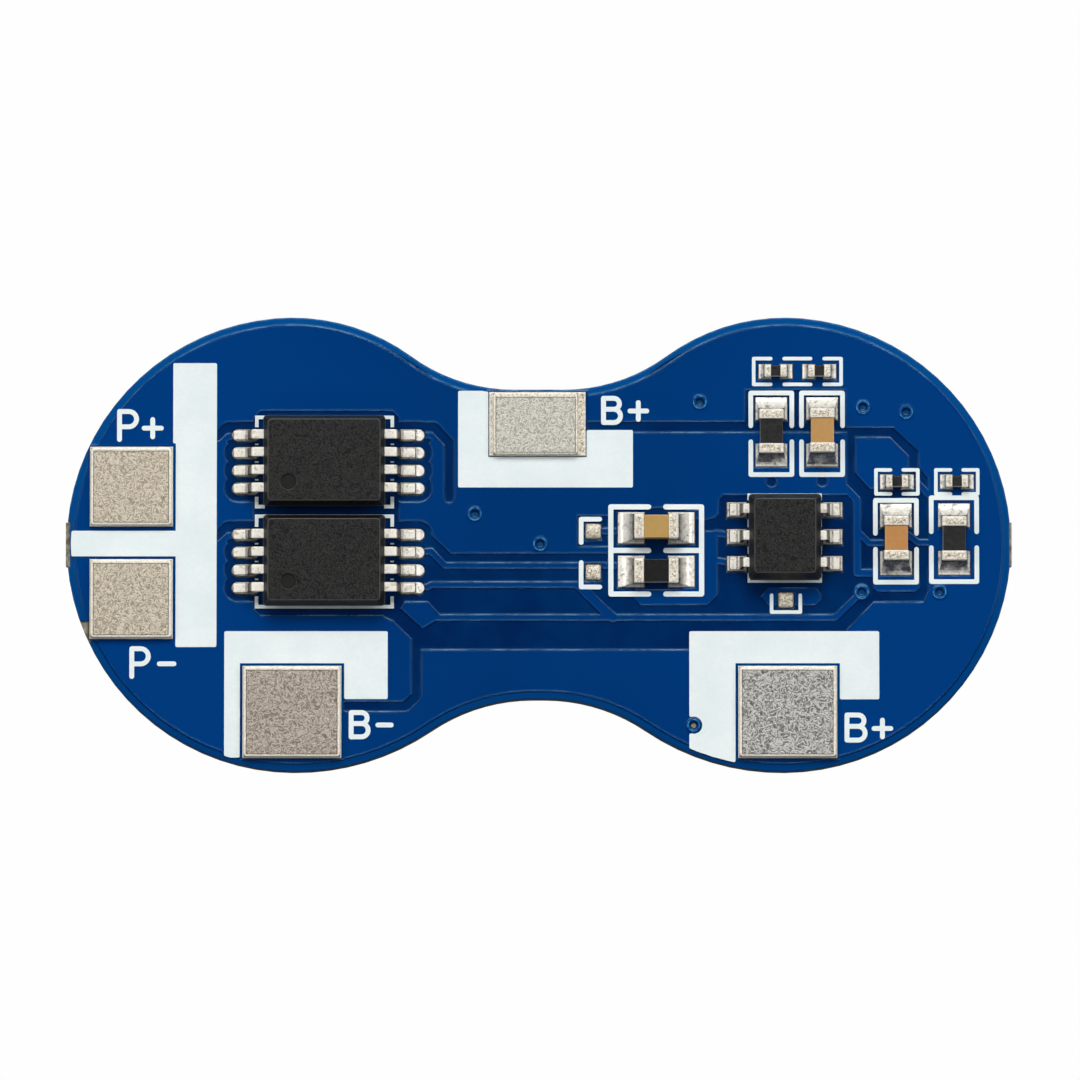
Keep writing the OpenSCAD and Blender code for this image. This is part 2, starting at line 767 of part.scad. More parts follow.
module fields_2d() {
    field_corner = 0.06;
    mid_film = film_edges(b_mid);
    offset(r = field_corner, $fn = 16) offset(delta = -field_corner) {
        intersection() {
            offset(delta = -0.16) board_2d();
            union() {
                box2d(bar_x0, -3.83, bar_x1, 6.73);
                box2d(bar_x0 - 0.1, 3.74, bar_x1, 6.73);
                box2d(-end_x, tab_shift_y - p_tab_gap / 2 + 0.15,
                      bar_x1, tab_shift_y + p_tab_gap / 2 - 0.2);
                field_round(b_minus, 0.58, 1.61, 3.5, 1.33);
                difference() {
                    field_round(b_plus, 1.71, 1.46, 4, 1.34);
                    for (v = vias) translate(v) circle(d = via_rim + 0.08, $fn = 24);
                }
                difference() {
                    box2d(-2.99, 2.1, 3.49, waist_y - 0.05);
                    box2d(mid_film[0] - 0.03, mid_film[2] - 0.03, mid_film[1] + 0.03, waist_y);
                    box2d(0, 4.24, 4, waist_y);
                }
            }
        }
    }
}

module legend_fields() {
    color("white") ink() fields_2d();
}

// An outline round a chip, given by its outer half sizes, broken at the middle of its
// two long sides
module broken_box(place, half_l, half_w, w, gap) {
    a = half_l - w / 2;
    b = half_w - w / 2;
    translate([place[0], place[1]]) rotate(place[2]) for (side = [-1, 1]) {
        stroke([[side * (gap / 2 + w / 2), b], [side * a, b], [side * a, -b],
                [side * (gap / 2 + w / 2), -b]], w);
    }
}

module outlines_2d() {
    upright_half_l = chip_l / 2 + outer_land_reach + 0.28;
    upright_half_w = chip_land_w / 2 + 0.265;
    // the middle pair
    pair_x0 = c1[0] - 1.68;
    pair_x1 = c1[0] + 1.68;
    pair_w = 0.19;
    pair_y = (c1[1] + r1[1]) / 2 - 0.03;
    for (y = [pair_y + 1.62, pair_y, pair_y - 1.62]) {
        stroke([[pair_x0, y], [c1[0] - 0.28, y]], pair_w);
        stroke([[c1[0] + 0.35, y], [pair_x1, y]], pair_w);
    }
    for (x = [pair_x0, pair_x1]) stroke([[x, pair_y + 1.62], [x, pair_y - 1.62]], pair_w);
    // the upright chips
    for (c = [r2, c2, c3]) {
        broken_box([c[0], c[1] - 0.07, c[2]], upright_half_l, upright_half_w, outline_w, 0.42);
    }
    broken_box([r3[0], r3[1] - 0.02, r3[2]], upright_half_l + 0.04, upright_half_w + 0.08,
               outline_w, 0.42);
    // the small resistors: one box round the upper pair, one round each of the others
    for (i = [2, 3]) broken_box(small_resistors[i], 0.84, 0.51, fine_w, 0.34);
    upper = (small_resistors[0] + small_resistors[1]) / 2;
    for (side = [-1, 1]) {
        stroke([[upper[0] + side * 0.99, upper[1] + 0.48], [upper[0] + side * 1.62, upper[1] + 0.48],
                [upper[0] + side * 1.62, upper[1] - 0.48], [upper[0] + side * 0.99, upper[1] - 0.48]],
               fine_w);
        stroke([[upper[0] - 0.49, upper[1] + side * 0.48], [upper[0] + 0.49, upper[1] + side * 0.48]],
               fine_w);
    }
    // brackets at the spare lands
    spare_half = spare_w / 2 + 0.17;
    stroke([[spares[0][0] + 0.24, spares[0][1] + spare_half],
            [spares[0][0] - spare_half, spares[0][1] + spare_half],
            [spares[0][0] - spare_half, spares[0][1] - 0.42]], outline_w);
    stroke([[spares[1][0] + 0.24, spares[1][1] - spare_half - 0.1],
            [spares[1][0] - spare_half, spares[1][1] - spare_half - 0.1],
            [spares[1][0] - spare_half, spares[1][1] + 0.36]], outline_w);
    stroke([[spares[2][0] - 0.53, spares[2][1] + 0.18], [spares[2][0] - 0.53, spares[2][1] - 0.45],
            [spares[2][0] + 0.53, spares[2][1] - 0.45], [spares[2][0] + 0.53, spares[2][1] + 0.18]],
           fine_w);
    // round the switches' and the chip's bodies
    difference() {
        body_outline(q1, q_body_l / 2 + 0.25, q_body_w / 2 - 0.03, q_row, q_land_w, fine_w);
        translate([q1[0], q1[1] - q_body_w / 2]) square([q_body_l - 0.1, 0.5], center = true);
    }
    body_outline(q2, q_body_l / 2 + 0.25, q_body_w / 2 - 0.01, q_row, q_land_w, fine_w);
    body_outline(u1, u_body_l / 2 - 0.02, u_body_w / 2 + 0.02, u_row, u_land_w, fine_w * 0.7);
}

// The outline of a moulded body, broken where its leads cross
module body_outline(place, half_l, half_w, row, land_w, w) {
    difference() {
        translate(place) difference() {
            square([2 * half_l + w, 2 * half_w + w], center = true);
            square([2 * half_l - w, 2 * half_w - w], center = true);
        }
        for (y = row, side = [-1, 1]) {
            translate([place[0] + side * half_l, place[1] + y]) {
                square([1, land_w + 0.18], center = true);
            }
        }
    }
}

module legend_outlines() {
    color("white") ink() offset(delta = eps) outlines_2d();
}

// ---------------------------------------------------------------- weld tabs

module tab_plate(tab) {
    color([0.75, 0.72, 0.66]) translate([tab[0], tab[1], z_land + tab_film_t]) {
        bevelled_plate(tab[2], tab[3], tab_t, tab_bevel, 0.08);
    }
}

// Solder film with a low fillet that climbs the plate's edges
module tab_film(tab) {
    climb = tab_film_t + tab_t * 0.35;
    e = film_edges(tab);
    color("silver") intersection() {
        difference() {
            translate([(e[0] + e[1]) / 2, (e[2] + e[3]) / 2, z_land]) {
                bevelled_plate(e[1] - e[0], e[3] - e[2], climb, tab_film_lip - 0.01, 0.01);
            }
            translate([tab[0], tab[1], z_land + tab_film_t + over / 2]) {
                cube([tab[2], tab[3], over], center = true);
            }
        }
        translate([0, 0, z_land]) linear_extrude(climb) offset(delta = -rim_margin) board_2d();
    }
}

// ---------------------------------------------------------------- moulded parts

// Side view of a moulded body: widest at the parting line, with a chamfer at the top
module body_profile(half, h, draft) {
    mid = h / 2;
    drop = body_chamfer * 0.6;
    polygon([
        [-half + draft, 0],
        [half - draft, 0],
        [half, mid - 0.06],
        [half, mid + 0.06],
        [half - draft, h - drop],
        [half - draft - body_chamfer, h],
        [draft + body_chamfer - half, h],
        [draft - half, h - drop],
        [-half, mid + 0.06],
        [-half, mid - 0.06],
    ]);
}

module moulded_body(place, l, w, h, row, lead_w, dimple) {
    slot = lead_bury + lead_t / 2;
    color([0.14, 0.14, 0.15]) difference() {
        translate([place[0], place[1], z_land + standoff]) intersection() {
            rotate([90, 0, 0]) linear_extrude(w, center = true) body_profile(l / 2, h, 0.12);
            rotate([90, 0, 90]) linear_extrude(l, center = true) body_profile(w / 2, h, 0.08);
        }
        for (side = [-1, 1], y = row) {
            translate([place[0] + side * l / 2, place[1] + y, z_land + standoff + h / 2]) {
                cube([2 * slot, lead_w, lead_t + eps], center = true);
            }
        }
        if (dimple > 0) {
            translate([place[0] - l / 2 + 0.8, place[1] - w / 2 + 0.75, 0]) {
                translate([0, 0, z_land + standoff + h - dimple_depth]) cylinder(d = dimple, h = over);
            }
        }
    }
}

// Side view of one gull-wing lead, from inside the body out to its foot
module lead_profile(body_half, h, reach, shoulder) {
    foot_z = z_seat + lead_t / 2;
    offset(r = lead_t / 2, $fn = 12) hairline([
        [body_half - lead_bury, z_land + standoff + h / 2],
        [body_half + shoulder, z_land + standoff + h / 2],
        [body_half + shoulder + 0.16, foot_z],
        [body_half + reach - lead_t / 2, foot_z],
    ]);
}

module lead_bar(body_half, h, reach, shoulder, w) {
    rotate([90, 0, 0]) linear_extrude(w, center = true) {
        lead_profile(body_half, h, reach, shoulder);
    }
}

module each_lead(place, row) {
    for (side = [0, 1], y = row) {
        translate([place[0], place[1] + y, 0]) mirror([side, 0, 0]) children();
    }
}

// Solder round one foot: as long as the land, low at the toe and higher at the heel
module foot_solder_profile(x0, x1, body_half, reach, shoulder) {
    foot_top = z_seat + lead_t * 0.7;
    polygon([
        [x0, z_land],
        [x1, z_land],
        [x1, z_land + 0.03],
        [(x1 + body_half + reach) / 2, z_seat + lead_t * 0.3],
        [body_half + reach, foot_top],
        [body_half + shoulder + 0.3, foot_top],
        [body_half + shoulder + 0.14, z_seat + lead_t * 1.7],
        [x0, z_seat + 0.03],
    ]);
}

// End view of the same solder: it climbs from the land's edges to the foot's sides
module foot_solder_section(land_w, lead_w) {
    polygon([
        [-land_w / 2, z_land],
        [land_w / 2, z_land],
        [land_w / 2, z_land + 0.04],
        [lead_w / 2 - 0.03, z_seat + lead_t * 1.8],
        [0.03 - lead_w / 2, z_seat + lead_t * 1.8],
        [-land_w / 2, z_land + 0.04],
    ]);
}

module foot_solder(land_x, land_l, land_w, body_half, h, reach, shoulder, lead_w) {
    difference() {
        intersection() {
            rotate([90, 0, 90]) linear_extrude(2 * land_x) foot_solder_section(land_w, lead_w);
            rotate([90, 0, 0]) linear_extrude(1, center = true) {
                foot_solder_profile(land_x - land_l / 2, land_x + land_l / 2, body_half, reach,
                                    shoulder);
            }
            children();
        }
        lead_bar(body_half, h, reach, shoulder, lead_w);
    }
}

module q_solder(q) {
    color("silver") for (side = [0, 1], y = q_row) {
        x = q_land_x + (side == 0 ? q_off : -q_off);
        translate([q[0], q[1] + y, 0]) mirror([side, 0, 0]) {
            foot_solder(x, q_land_l, q_land_w, q_body_l / 2, q_body_h, q_lead_reach, q_shoulder,
                        q_lead_w) {
                translate([x, 0, z_land]) linear_extrude(0.5) oval(q_land_l, q_land_w);
            }
        }
    }
}

module q_leads(q) {
    color([0.8, 0.79, 0.75]) each_lead(q, q_row) {
        lead_bar(q_body_l / 2, q_body_h, q_lead_reach, q_shoulder, q_lead_w);
    }
}

module u_solder() {
    color("silver") each_lead(u1, u_row) {
        foot_solder(u_land_x, u_land_l, u_land_w, u_body_l / 2, u_body_h, u_lead_reach,
                    u_shoulder, u_lead_w) {
            translate([u_land_x, 0, z_land + 0.25]) cube([u_land_l, u_land_w, 0.5], center = true);
        }
    }
}

module u_leads() {
    color([0.8, 0.79, 0.75]) each_lead(u1, u_row) {
        lead_bar(u_body_l / 2, u_body_h, u_lead_reach, u_shoulder, u_lead_w);
    }
}

// ---------------------------------------------------------------- chips

module chip_core(l, w, h) {
    translate([0, 0, z_seat + h / 2]) cube([l - 2 * end_t, w - 2 * end_t, h - 2 * end_t], center = true);
}

// A block with round edges, as the cross of three rounded prisms
module round_block(l, w, h, r) {
    intersection() {
        linear_extrude(h, center = true) round_square(l, w, r);
        rotate([90, 0, 0]) linear_extrude(w, center = true) round_square(l, h, r);
        rotate([90, 0, 90]) linear_extrude(l, center = true) round_square(w, h, r);
    }
}

module round_square(l, w, r) {
    offset(r = r, $fn = oval_fn) square([l - 2 * r, w - 2 * r], center = true);
}

module chip_ends(l, w, h, end_l) {
    difference() {
        translate([0, 0, z_seat + h / 2]) round_block(l, w, h, end_r);
        translate([0, 0, z_seat + h / 2]) cube([l - 2 * end_l, 2 * w, 2 * h], center = true);
        chip_core(l, w, h);
    }
}

module chip_coat(l, w, h, end_l) {
    translate([0, 0, z_seat + h - end_t + coat_t / 2]) {
        cube([l - 2 * end_l, w - 2 * end_t, coat_t], center = true);
    }
}

// A hollow solder fillet, from the land's edge at x1 up to the chip at x0
function fillet_points(x0, x1, rise, toe_h, steps = 6) = [
    for (i = [0:steps]) [x1 + (x0 - x1) * i / steps, toe_h + (rise - toe_h) * pow(i / steps, 2)]
];

// Solder on one pair of lands: a film under the chip, a fillet up each end and a steeper
// one at each side
module chip_solder(l, w, h, reach, end_l, land_w) {
    x1 = l / 2 + reach;
    land_l = end_l + reach + 0.02;
    rise = joint_t + h * 0.7;
    side_points = fillet_points(w / 2, land_w / 2, rise, 0.05, 4);
    for (side = [0, 1]) mirror([side, 0, 0]) translate([0, 0, z_land]) difference() {
        intersection() {
            rotate([90, 0, 0]) linear_extrude(land_w, center = true) polygon(concat(
                [[x1 - land_l, rise], [x1 - land_l, 0], [x1, 0]],
                fillet_points(l / 2, x1, rise, 0.03)
            ));
            rotate([90, 0, 90]) linear_extrude(x1) polygon(concat(
                [[-land_w / 2, 0], [land_w / 2, 0]], side_points,
                reversed(flipped(side_points, -1, 1))
            ));
        }
        translate([0, 0, joint_t + h / 2]) round_block(l, w, h, end_r);
        translate([0, 0, joint_t + over / 2]) {
            cube([l - 2 * end_l - 0.02, w, over], center = true);
        }
    }
}

module capacitor_body(place) {
    color([0.68, 0.5, 0.3]) at(place) chip_core(chip_l, chip_w, cap_h);
}

module capacitor_ends(place) {
    color([0.85, 0.83, 0.78]) at(place) chip_ends(chip_l, chip_w, cap_h, chip_end);
}

module capacitor_solder(place) {
    color("silver") at(place) {
        chip_solder(chip_l, chip_w, cap_h, land_reach(place), chip_end, chip_land_w);
    }
}

module resistor_body(place) {
    color([0.9, 0.89, 0.85]) at(place) chip_core(chip_l, chip_w, res_h);
}

module resistor_coat(place) {
    color([0.12, 0.12, 0.13]) at(place) chip_coat(chip_l, chip_w, res_h, chip_end);
}

module resistor_ends(place) {
    color([0.85, 0.83, 0.78]) at(place) chip_ends(chip_l, chip_w, res_h, chip_end);
}

module resistor_solder(place) {
    color("silver") at(place) {
        chip_solder(chip_l, chip_w, res_h, land_reach(place), chip_end, chip_land_w);
    }
}

module small_bodies() {
    color([0.9, 0.89, 0.85]) for (c = small_resistors) at(c) chip_core(small_l, small_w, small_h);
}

module small_coats() {
    color([0.12, 0.12, 0.13]) for (c = small_resistors) {
        at(c) chip_coat(small_l, small_w, small_h, small_end);
    }
}

module small_ends() {
    color([0.85, 0.83, 0.78]) for (c = small_resistors) {
        at(c) chip_ends(small_l, small_w, small_h, small_end);
    }
}

module small_solder() {
    color("silver") for (c = small_resistors) {
        at(c) chip_solder(small_l, small_w, small_h, small_land_reach, small_end, small_land_w);
    }
}

// Domed solder on the spare lands
module spare_solder() {
    dome_h = 0.16;
    dome_r = (spare_w * spare_w / 4 + dome_h * dome_h) / (2 * dome_h);
    color("silver") for (s = spares) translate([s[0], s[1], z_land]) intersection() {
        linear_extrude(dome_h) offset(r = 0.1, $fn = 16) square(spare_w - 0.2, center = true);
        translate([0, 0, dome_h - dome_r]) rotate([90, 0, 0]) {
            cylinder(r = dome_r, h = 2, center = true, $fn = 64);
        }
        translate([0, 0, dome_h - dome_r]) rotate([0, 90, 0]) {
            cylinder(r = dome_r, h = 2, center = true, $fn = 64);
        }
    }
}

// ---------------------------------------------------------------- the part

fr4_core();
copper_top();
copper_bottom();
mask_top();
mask_bottom();
via_barrels();
legend_fields();
legend_outlines();
tab_plate(p_plus);  // tab_p_plus
tab_plate(p_minus);  // tab_p_minus
tab_plate(b_minus);  // tab_b_minus
tab_plate(b_plus);  // tab_b_plus
tab_plate(b_mid);  // tab_b_mid
tab_film(p_plus);  // film_p_plus
tab_film(p_minus);  // film_p_minus
tab_film(b_minus);  // film_b_minus
tab_film(b_plus);  // film_b_plus
tab_film(b_mid);  // film_b_mid
union() {  // q1_body
    moulded_body(q1, q_body_l, q_body_w, q_body_h, q_row, q_lead_w, 0.58);
}
q_leads(q1);  // q1_leads
q_solder(q1);  // q1_solder
union() {  // q2_body
    moulded_body(q2, q_body_l, q_body_w, q_body_h, q_row, q_lead_w, 0.58);
}
q_leads(q2);  // q2_leads
q_solder(q2);  // q2_solder
union() {  // u1_body
    moulded_body(u1, u_body_l, u_body_w, u_body_h, u_row, u_lead_w, 0);
}
u_leads();  // u1_leads
u_solder();  // u1_solder
capacitor_body(c1);  // c1_body
capacitor_ends(c1);  // c1_ends
capacitor_solder(c1);  // c1_solder
capacitor_body(c2);  // c2_body
capacitor_ends(c2);  // c2_ends
capacitor_solder(c2);  // c2_solder
capacitor_body(c3);  // c3_body
capacitor_ends(c3);  // c3_ends
capacitor_solder(c3);  // c3_solder
resistor_body(r1);  // r1_body
resistor_coat(r1);  // r1_coat
resistor_ends(r1);  // r1_ends
resistor_solder(r1);  // r1_solder
resistor_body(r2);  // r2_body
resistor_coat(r2);  // r2_coat
resistor_ends(r2);  // r2_ends
resistor_solder(r2);  // r2_solder
resistor_body(r3);  // r3_body
resistor_coat(r3);  // r3_coat
resistor_ends(r3);  // r3_ends
resistor_solder(r3);  // r3_solder
small_bodies();
small_coats();
small_ends();
small_solder();
spare_solder();
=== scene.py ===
import json
import math

import bmesh
import bpy
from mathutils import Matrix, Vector

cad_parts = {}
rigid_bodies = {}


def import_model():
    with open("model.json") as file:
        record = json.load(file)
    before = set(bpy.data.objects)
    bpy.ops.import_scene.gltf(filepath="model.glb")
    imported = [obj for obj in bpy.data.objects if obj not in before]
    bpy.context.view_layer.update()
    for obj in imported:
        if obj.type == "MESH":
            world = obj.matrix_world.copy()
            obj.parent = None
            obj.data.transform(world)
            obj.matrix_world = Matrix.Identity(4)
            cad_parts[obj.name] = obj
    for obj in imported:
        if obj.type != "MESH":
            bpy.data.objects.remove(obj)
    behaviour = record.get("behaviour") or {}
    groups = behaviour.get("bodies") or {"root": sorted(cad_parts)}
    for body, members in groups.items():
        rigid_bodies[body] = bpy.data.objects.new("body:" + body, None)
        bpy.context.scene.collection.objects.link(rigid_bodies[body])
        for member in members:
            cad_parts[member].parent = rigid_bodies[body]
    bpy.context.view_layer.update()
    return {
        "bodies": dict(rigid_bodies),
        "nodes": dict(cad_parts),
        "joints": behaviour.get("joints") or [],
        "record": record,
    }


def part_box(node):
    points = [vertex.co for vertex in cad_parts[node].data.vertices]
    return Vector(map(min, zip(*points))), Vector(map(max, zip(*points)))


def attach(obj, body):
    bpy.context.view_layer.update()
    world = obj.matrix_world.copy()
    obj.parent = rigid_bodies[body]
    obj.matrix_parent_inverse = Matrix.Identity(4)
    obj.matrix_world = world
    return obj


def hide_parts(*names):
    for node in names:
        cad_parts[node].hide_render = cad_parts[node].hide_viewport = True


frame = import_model()
nodes = frame["nodes"]

MM = 0.001
LEVEL = 1.02  # how bright the lights make a white face that looks up: colours are divided by it


def tone(r, g, b):
    """The shader's value for a colour that should look like this on screen, 0 to 255."""
    out = []
    for c in (r / 255, g / 255, b / 255):
        out.append((c / 12.92 if c <= 0.04045 else ((c + 0.055) / 1.055) ** 2.4) / LEVEL)
    return (*out, 1)


# ---------------------------------------------------------------- materials


class Shader:
    """A Principled material and short calls for the nodes that feed it.

    Sizes, radii and depths are in millimetres; spread's limits are in the units of its value."""

    def __init__(self, name, colour, roughness, metallic=0.0, specular=0.5):
        self.mat = bpy.data.materials.new(name)
        self.mat.use_nodes = True
        self.mat.diffuse_color = colour
        self.tree = self.mat.node_tree
        self.bsdf = self.tree.nodes["Principled BSDF"]
        self.set("Base Color", colour)
        self.set("Roughness", roughness)
        self.set("Metallic", metallic)
        self.set("Specular IOR Level", specular)
        self.coords = self.add("ShaderNodeTexCoord").outputs["Object"]
        self.normal = None

    def add(self, kind, **values):
        """A new node, with these settings."""
        node = self.tree.nodes.new(kind)
        for key, value in values.items():
            setattr(node, key, value)
        return node

    def join(self, socket, value):
        """Gives a socket a value, or a link where the value is another socket."""
        if hasattr(value, "is_linked"):
            self.tree.links.new(value, socket)
        else:
            socket.default_value = value

    def feed(self, node, **inputs):
        """Gives each named input a value or a link."""
        for key, value in inputs.items():
            self.join(node.inputs[key.replace("_", " ")], value)
        return node

    def set(self, socket, value):
        """Gives one of the shader's own sockets a value or a link."""
        self.join(self.bsdf.inputs[socket], value)

    def noise(self, size, detail=2.0, roughness=0.5, distortion=0.0, stretch=(1, 1, 1)):
        place = self.add("ShaderNodeMapping")
        self.feed(place, Vector=self.coords, Scale=tuple(s / (size * MM) for s in stretch))
        node = self.add("ShaderNodeTexNoise")
        self.feed(node, Vector=place.outputs[0], Scale=1.0)
        self.feed(node, Detail=detail, Roughness=roughness, Distortion=distortion)
        return node.outputs[0]

    def worms(self, size, turns, distortion):
        """Crawling ridges: stripes that follow the level lines of a noise, 0 to 1."""
        level = self.noise(size, 1.5, 0.5, distortion)
        wave = self.maths("SINE", self.maths("MULTIPLY", level, math.tau * turns))
        return self.spread(wave, -1, 1)

    def spread(self, value, low, high, out_low=0.0, out_high=1.0):
        """Maps low..high to out_low..out_high, and stops at both ends."""
        node = self.add("ShaderNodeMapRange")
        self.feed(node, Value=value, From_Min=low, From_Max=high, To_Min=out_low, To_Max=out_high)
        return node.outputs[0]

    def maths(self, operation, a, b=0.0):
        node = self.add("ShaderNodeMath", operation=operation)
        for socket, value in zip(node.inputs, (a, b)):
            self.join(socket, value)
        return node.outputs[0]

    def blend(self, factor, first, second):
        """The first colour at factor 0, the second at 1."""
        node = self.add("ShaderNodeMix", data_type="RGBA")
        for number, value in ((0, factor), (6, first), (7, second)):
            self.join(node.inputs[number], value)
        return node.outputs[2]

    def place(self, axis):
        """A coordinate of the point, in metres."""
        node = self.add("ShaderNodeSeparateXYZ")
        self.feed(node, Vector=self.coords)
        return node.outputs[axis]

    def soften(self, radius):
        """Rounds the look of every edge by this radius."""
        node = self.add("ShaderNodeBevel", samples=6)
        self.feed(node, Radius=radius * MM)
        self.normal = node.outputs[0]

    def rims(self, radius):
        """1 along edges and corners, fading to 0 this far from them."""
        bevel = self.add("ShaderNodeBevel", samples=6)
        self.feed(bevel, Radius=radius * MM)
        flat = self.add("ShaderNodeNewGeometry")
        turn = self.add("ShaderNodeVectorMath", operation="DOT_PRODUCT")
        self.tree.links.new(bevel.outputs[0], turn.inputs[0])
        self.tree.links.new(flat.outputs["Normal"], turn.inputs[1])
        return self.spread(turn.outputs["Value"], 0.998, 0.92)

    def lit_edges(self, radius, low, high):
        """1 on the edges that look towards +Y, where the key light glances off them."""
        bevel = self.add("ShaderNodeBevel", samples=6)
        self.feed(bevel, Radius=radius * MM)
        parts = self.add("ShaderNodeSeparateXYZ")
        self.feed(parts, Vector=bevel.outputs[0])
        return self.spread(parts.outputs["Y"], low, high)

    def facing(self, axis):
        """How far the surface faces along an axis, -1 to 1."""
        flat = self.add("ShaderNodeNewGeometry")
        parts = self.add("ShaderNodeSeparateXYZ")
        self.feed(parts, Vector=flat.outputs["Normal"])
        return parts.outputs[axis]

    def bump(self, height, depth, strength=1.0):
        """Bends the normal as if the surface rose by this depth where the height is 1."""
        node = self.add("ShaderNodeBump")
        self.feed(node, Height=height, Distance=depth * MM, Strength=strength)
        if self.normal is not None:
            self.feed(node, Normal=self.normal)
        self.normal = node.outputs[0]

    def done(self):
        """Joins up the bent normal and returns the material."""
        if self.normal is not None:
            self.set("Normal", self.normal)
        return self.mat


core_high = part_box("fr4_core")[1]
mask_low, mask_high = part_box("mask_top")
LOBE_TO_END = 8.47 * MM    # from the centre of a round end to the end of its panel bridge
COPPER_REACH = 8.05 * MM   # the upper copper's edge is about this far from that centre
WAIST_EDGE = 5.2 * MM      # and this far from the middle of the waist
MASK_ON_LAMINATE, MASK_ON_COPPER = 0.94 * MM, 0.975 * MM  # heights between which low mask turns into high
lobe_x = core_high.x - LOBE_TO_END  # the centre of the right round end


def solder_mask(name):
    """Glossy blue, lighter over copper than over bare laminate, with a lit line along its raised edges."""
    s = Shader(name, tone(0, 57, 124), 0.14, specular=0.5)
    s.set("Specular Tint", (0.3, 0.75, 1.0, 1))
    x = s.maths("ABSOLUTE", s.place("X"))
    outward = s.blend(s.spread(x, 1.5 * MM, 12 * MM), tone(0, 52, 113), tone(0, 59, 127))
    pour = s.blend(s.spread(s.noise(7, 2), 0.3, 0.7, 0, 0.4), outward, tone(0, 62, 132))
    bare = s.blend(s.spread(s.noise(1.6, 2), 0.3, 0.7), tone(0, 34, 86), tone(0, 46, 100))
    y = s.place("Y")
    from_lobe = s.maths("SUBTRACT", x, lobe_x)
    squares = s.maths("ADD", s.maths("MULTIPLY", from_lobe, from_lobe), s.maths("MULTIPLY", y, y))
    reach = s.maths("SQRT", squares)
    outside = s.maths("GREATER_THAN", reach, COPPER_REACH)
    past_waist = s.maths("GREATER_THAN", s.maths("ABSOLUTE", y), WAIST_EDGE)
    beyond = s.maths("MAXIMUM", s.maths("GREATER_THAN", x, lobe_x), past_waist)
    border = s.maths("MULTIPLY", outside, beyond)
    # painted light: the border band outside the copper is painted lighter than the bare mask within it, and
    # lighter still towards +Y, the side of the key light
    rim = s.blend(s.spread(y, -7 * MM, 7 * MM), tone(0, 60, 122), tone(4, 78, 146))
    low = s.blend(border, bare, rim)
    height = s.spread(s.place("Z"), MASK_ON_LAMINATE, MASK_ON_COPPER)
    patchy = s.spread(s.noise(0.7, 3, 0.6), 0.42, 0.6, 0.12, 0.8)
    glance = s.maths("MULTIPLY", s.lit_edges(0.06, 0.2, 0.6), patchy)
    s.set("Base Color", s.blend(glance, s.blend(height, low, pour), tone(150, 182, 214)))
    s.set("Roughness", s.spread(s.noise(0.8, 3), 0.3, 0.7, 0.1, 0.17))
    s.soften(0.1)
    s.bump(s.noise(0.5, 2), 0.003, 0.5)
    return s.done()


def white_ink(name, soft=True):
    """Matt white with a faint cool mottle."""
    s = Shader(name, tone(233, 242, 242), 0.6, specular=0.2)
    fine = s.noise(0.12, 4, 0.6)
    patch = s.noise(1.4, 3)
    grey = s.blend(s.spread(patch, 0.35, 0.7), tone(241, 249, 248), tone(232, 242, 243))
    s.set("Base Color", s.blend(s.spread(fine, 0.35, 0.75, 0, 0.5), grey, tone(226, 237, 239)))
    if soft:
        s.soften(0.02)
    s.bump(fine, 0.006, 0.5)
    return s.done()


def laminate():
    """Grey-brown glass laminate, as its cut edge looks, with the layers of cloth along it."""
    s = Shader("laminate", tone(120, 116, 100), 0.65, specular=0.2)
    cloth = s.noise(0.25, 3, 0.6, stretch=(1, 1, 2.6))
    tan = s.blend(s.spread(cloth, 0.35, 0.65), tone(92, 88, 74), tone(162, 158, 140))
    s.set("Base Color", tan)
    s.bump(cloth, 0.03, 0.7)
    return s.done()


def copper():
    """Bare copper, dull brown. Mask and solder cover nearly all of it."""
    s = Shader("copper", tone(120, 100, 84), 0.35, metallic=0.8)
    s.set("Base Color", s.blend(s.noise(0.6, 3), tone(104, 84, 70), tone(140, 118, 98)))
    s.bump(s.noise(0.08, 2), 0.004)
    return s.done()


